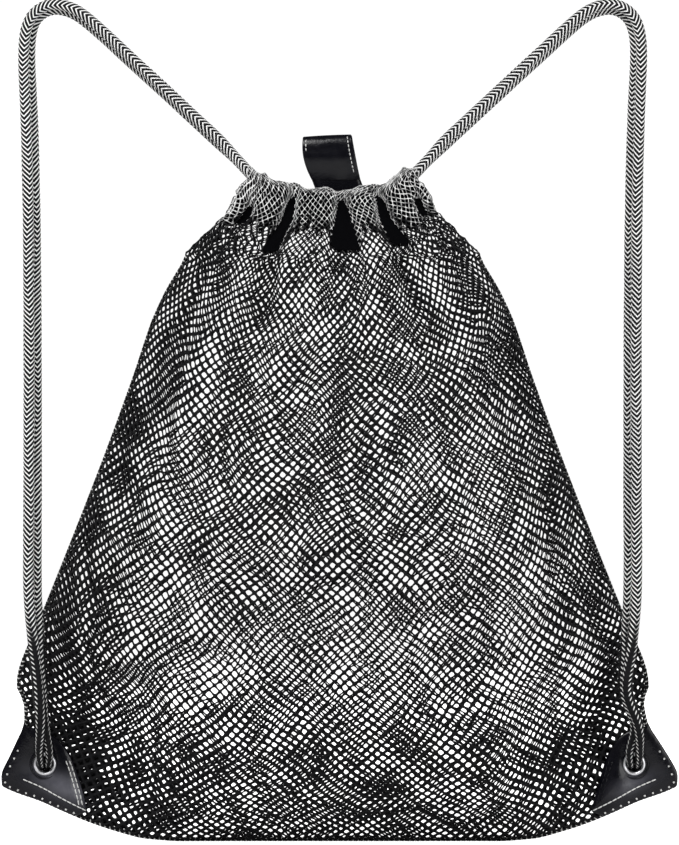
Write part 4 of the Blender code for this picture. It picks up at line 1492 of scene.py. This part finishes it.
def build_loop_tab():
    """The sewn end of the loop, which goes down into the back lip."""
    rings = []
    for height in np.linspace(0.0001, -TAB_DEPTH, 6):
        ring = []
        for turn in np.linspace(0.0, 2 * math.pi, TAB_SIDES, endpoint=False):
            x = math.copysign(abs(math.cos(turn)) ** 0.25, math.cos(turn)) * LOOP_W / 2
            y = math.copysign(abs(math.sin(turn)) ** 0.6, math.sin(turn)) * TAB_HALF_T
            lean = LOOP_LEAN * 2.0 * height / LOOP_H + LOOP_SHIFT
            ring.append((LOOP_FOOT[0] + x + lean, LOOP_FOOT[1] + y, LOOP_FOOT[2] + height))
        rings.append(ring)
    points = [p for ring in rings for p in ring]
    obj = add_piece("hang_loop_tab", points, tube_faces(len(rings), TAB_SIDES), leather_look)
    sharpen(obj)
    settle(obj, "leather", "back_lip")


build_hang_loop()
build_loop_tab()


# Light, floor and camera

# name, place, size, power
LAMPS = (
    ("key", (-0.8, -1.5, 1.9), (1.4, 1.0), 48.0),
    ("fill", (1.6, -1.5, 0.4), (1.3, 1.3), 22.0),
    ("back_key", (0.8, 1.6, 1.5), (1.2, 0.9), 26.0),
    ("back_fill", (-1.2, 1.4, 0.4), (1.2, 1.0), 12.0),
)
LAMP_TARGET = (0.0, 0.0, 0.2)
FLOOR_HALF, FLOOR_Z = 8.0, -0.0004
CAMERA_AWAY, PICTURE_W, PICTURE_H = 3.6, 679, 845
PICTURE_MARGIN = 4  # pixels left and right of the bag, together
CAMERA_DROP = 0.0019


def seen_by_camera(tree, unseen, seen):
    """A strength that differs for what the camera sees and for the light that falls on the bag."""
    path = tree.nodes.new("ShaderNodeLightPath")
    strength = tree.nodes.new("ShaderNodeMapRange")
    strength.inputs["To Min"].default_value = unseen
    strength.inputs["To Max"].default_value = seen
    tree.links.new(path.outputs["Is Camera Ray"], strength.inputs["Value"])
    return strength.outputs["Result"]


def light_world():
    world = bpy.data.worlds.new("studio")
    bpy.context.scene.world = world
    world.use_nodes = True
    back = world.node_tree.nodes["Background"]
    back.inputs["Color"].default_value = (1.0, 1.0, 1.0, 1.0)
    world.node_tree.links.new(seen_by_camera(world.node_tree, 0.08, 1.05), back.inputs["Strength"])


def add_floor():
    s = Shader("pale_floor", (0.88, 0.88, 0.88), 0.9, specular=0.1)
    s.main.inputs["Emission Color"].default_value = (1.0, 1.0, 1.0, 1.0)
    s.link(seen_by_camera(s.tree, 0.05, 0.96), s.main.inputs["Emission Strength"])
    points = [(x * FLOOR_HALF, y * FLOOR_HALF, 0.0) for x, y in ((-1, -1), (1, -1), (1, 1), (-1, 1))]
    floor = add_piece("floor", points, [(0, 1, 2, 3)], s.material, smooth=False)
    floor.location.z = FLOOR_Z


def add_lamp(name, place, size, power):
    data = bpy.data.lights.new(name, "AREA")
    data.shape = "RECTANGLE"
    data.size, data.size_y = size
    data.energy = power
    lamp = bpy.data.objects.new(name, data)
    bpy.context.scene.collection.objects.link(lamp)
    lamp.location = place
    lamp.rotation_euler = (Vector(LAMP_TARGET) - Vector(place)).to_track_quat("-Z", "Y").to_euler()


def add_camera():
    """A long lens at the middle of the bag's height, with the bag just inside the picture."""
    data = bpy.data.cameras.new("camera")
    camera = bpy.data.objects.new("camera", data)
    bpy.context.scene.collection.objects.link(camera)
    wide = cad_box[1][0] - cad_box[0][0]
    metres_high = wide * PICTURE_H / (PICTURE_W - PICTURE_MARGIN)
    data.lens = data.sensor_width * CAMERA_AWAY / metres_high
    camera.location = (0.0, -CAMERA_AWAY, metres_high / 2 - CAMERA_DROP)
    camera.rotation_euler = (math.pi / 2, 0.0, 0.0)
    bpy.context.scene.camera = camera


light_world()
add_floor()
for lamp in LAMPS:
    add_lamp(*lamp)
add_camera()
bpy.context.scene.view_settings.view_transform = "Standard"
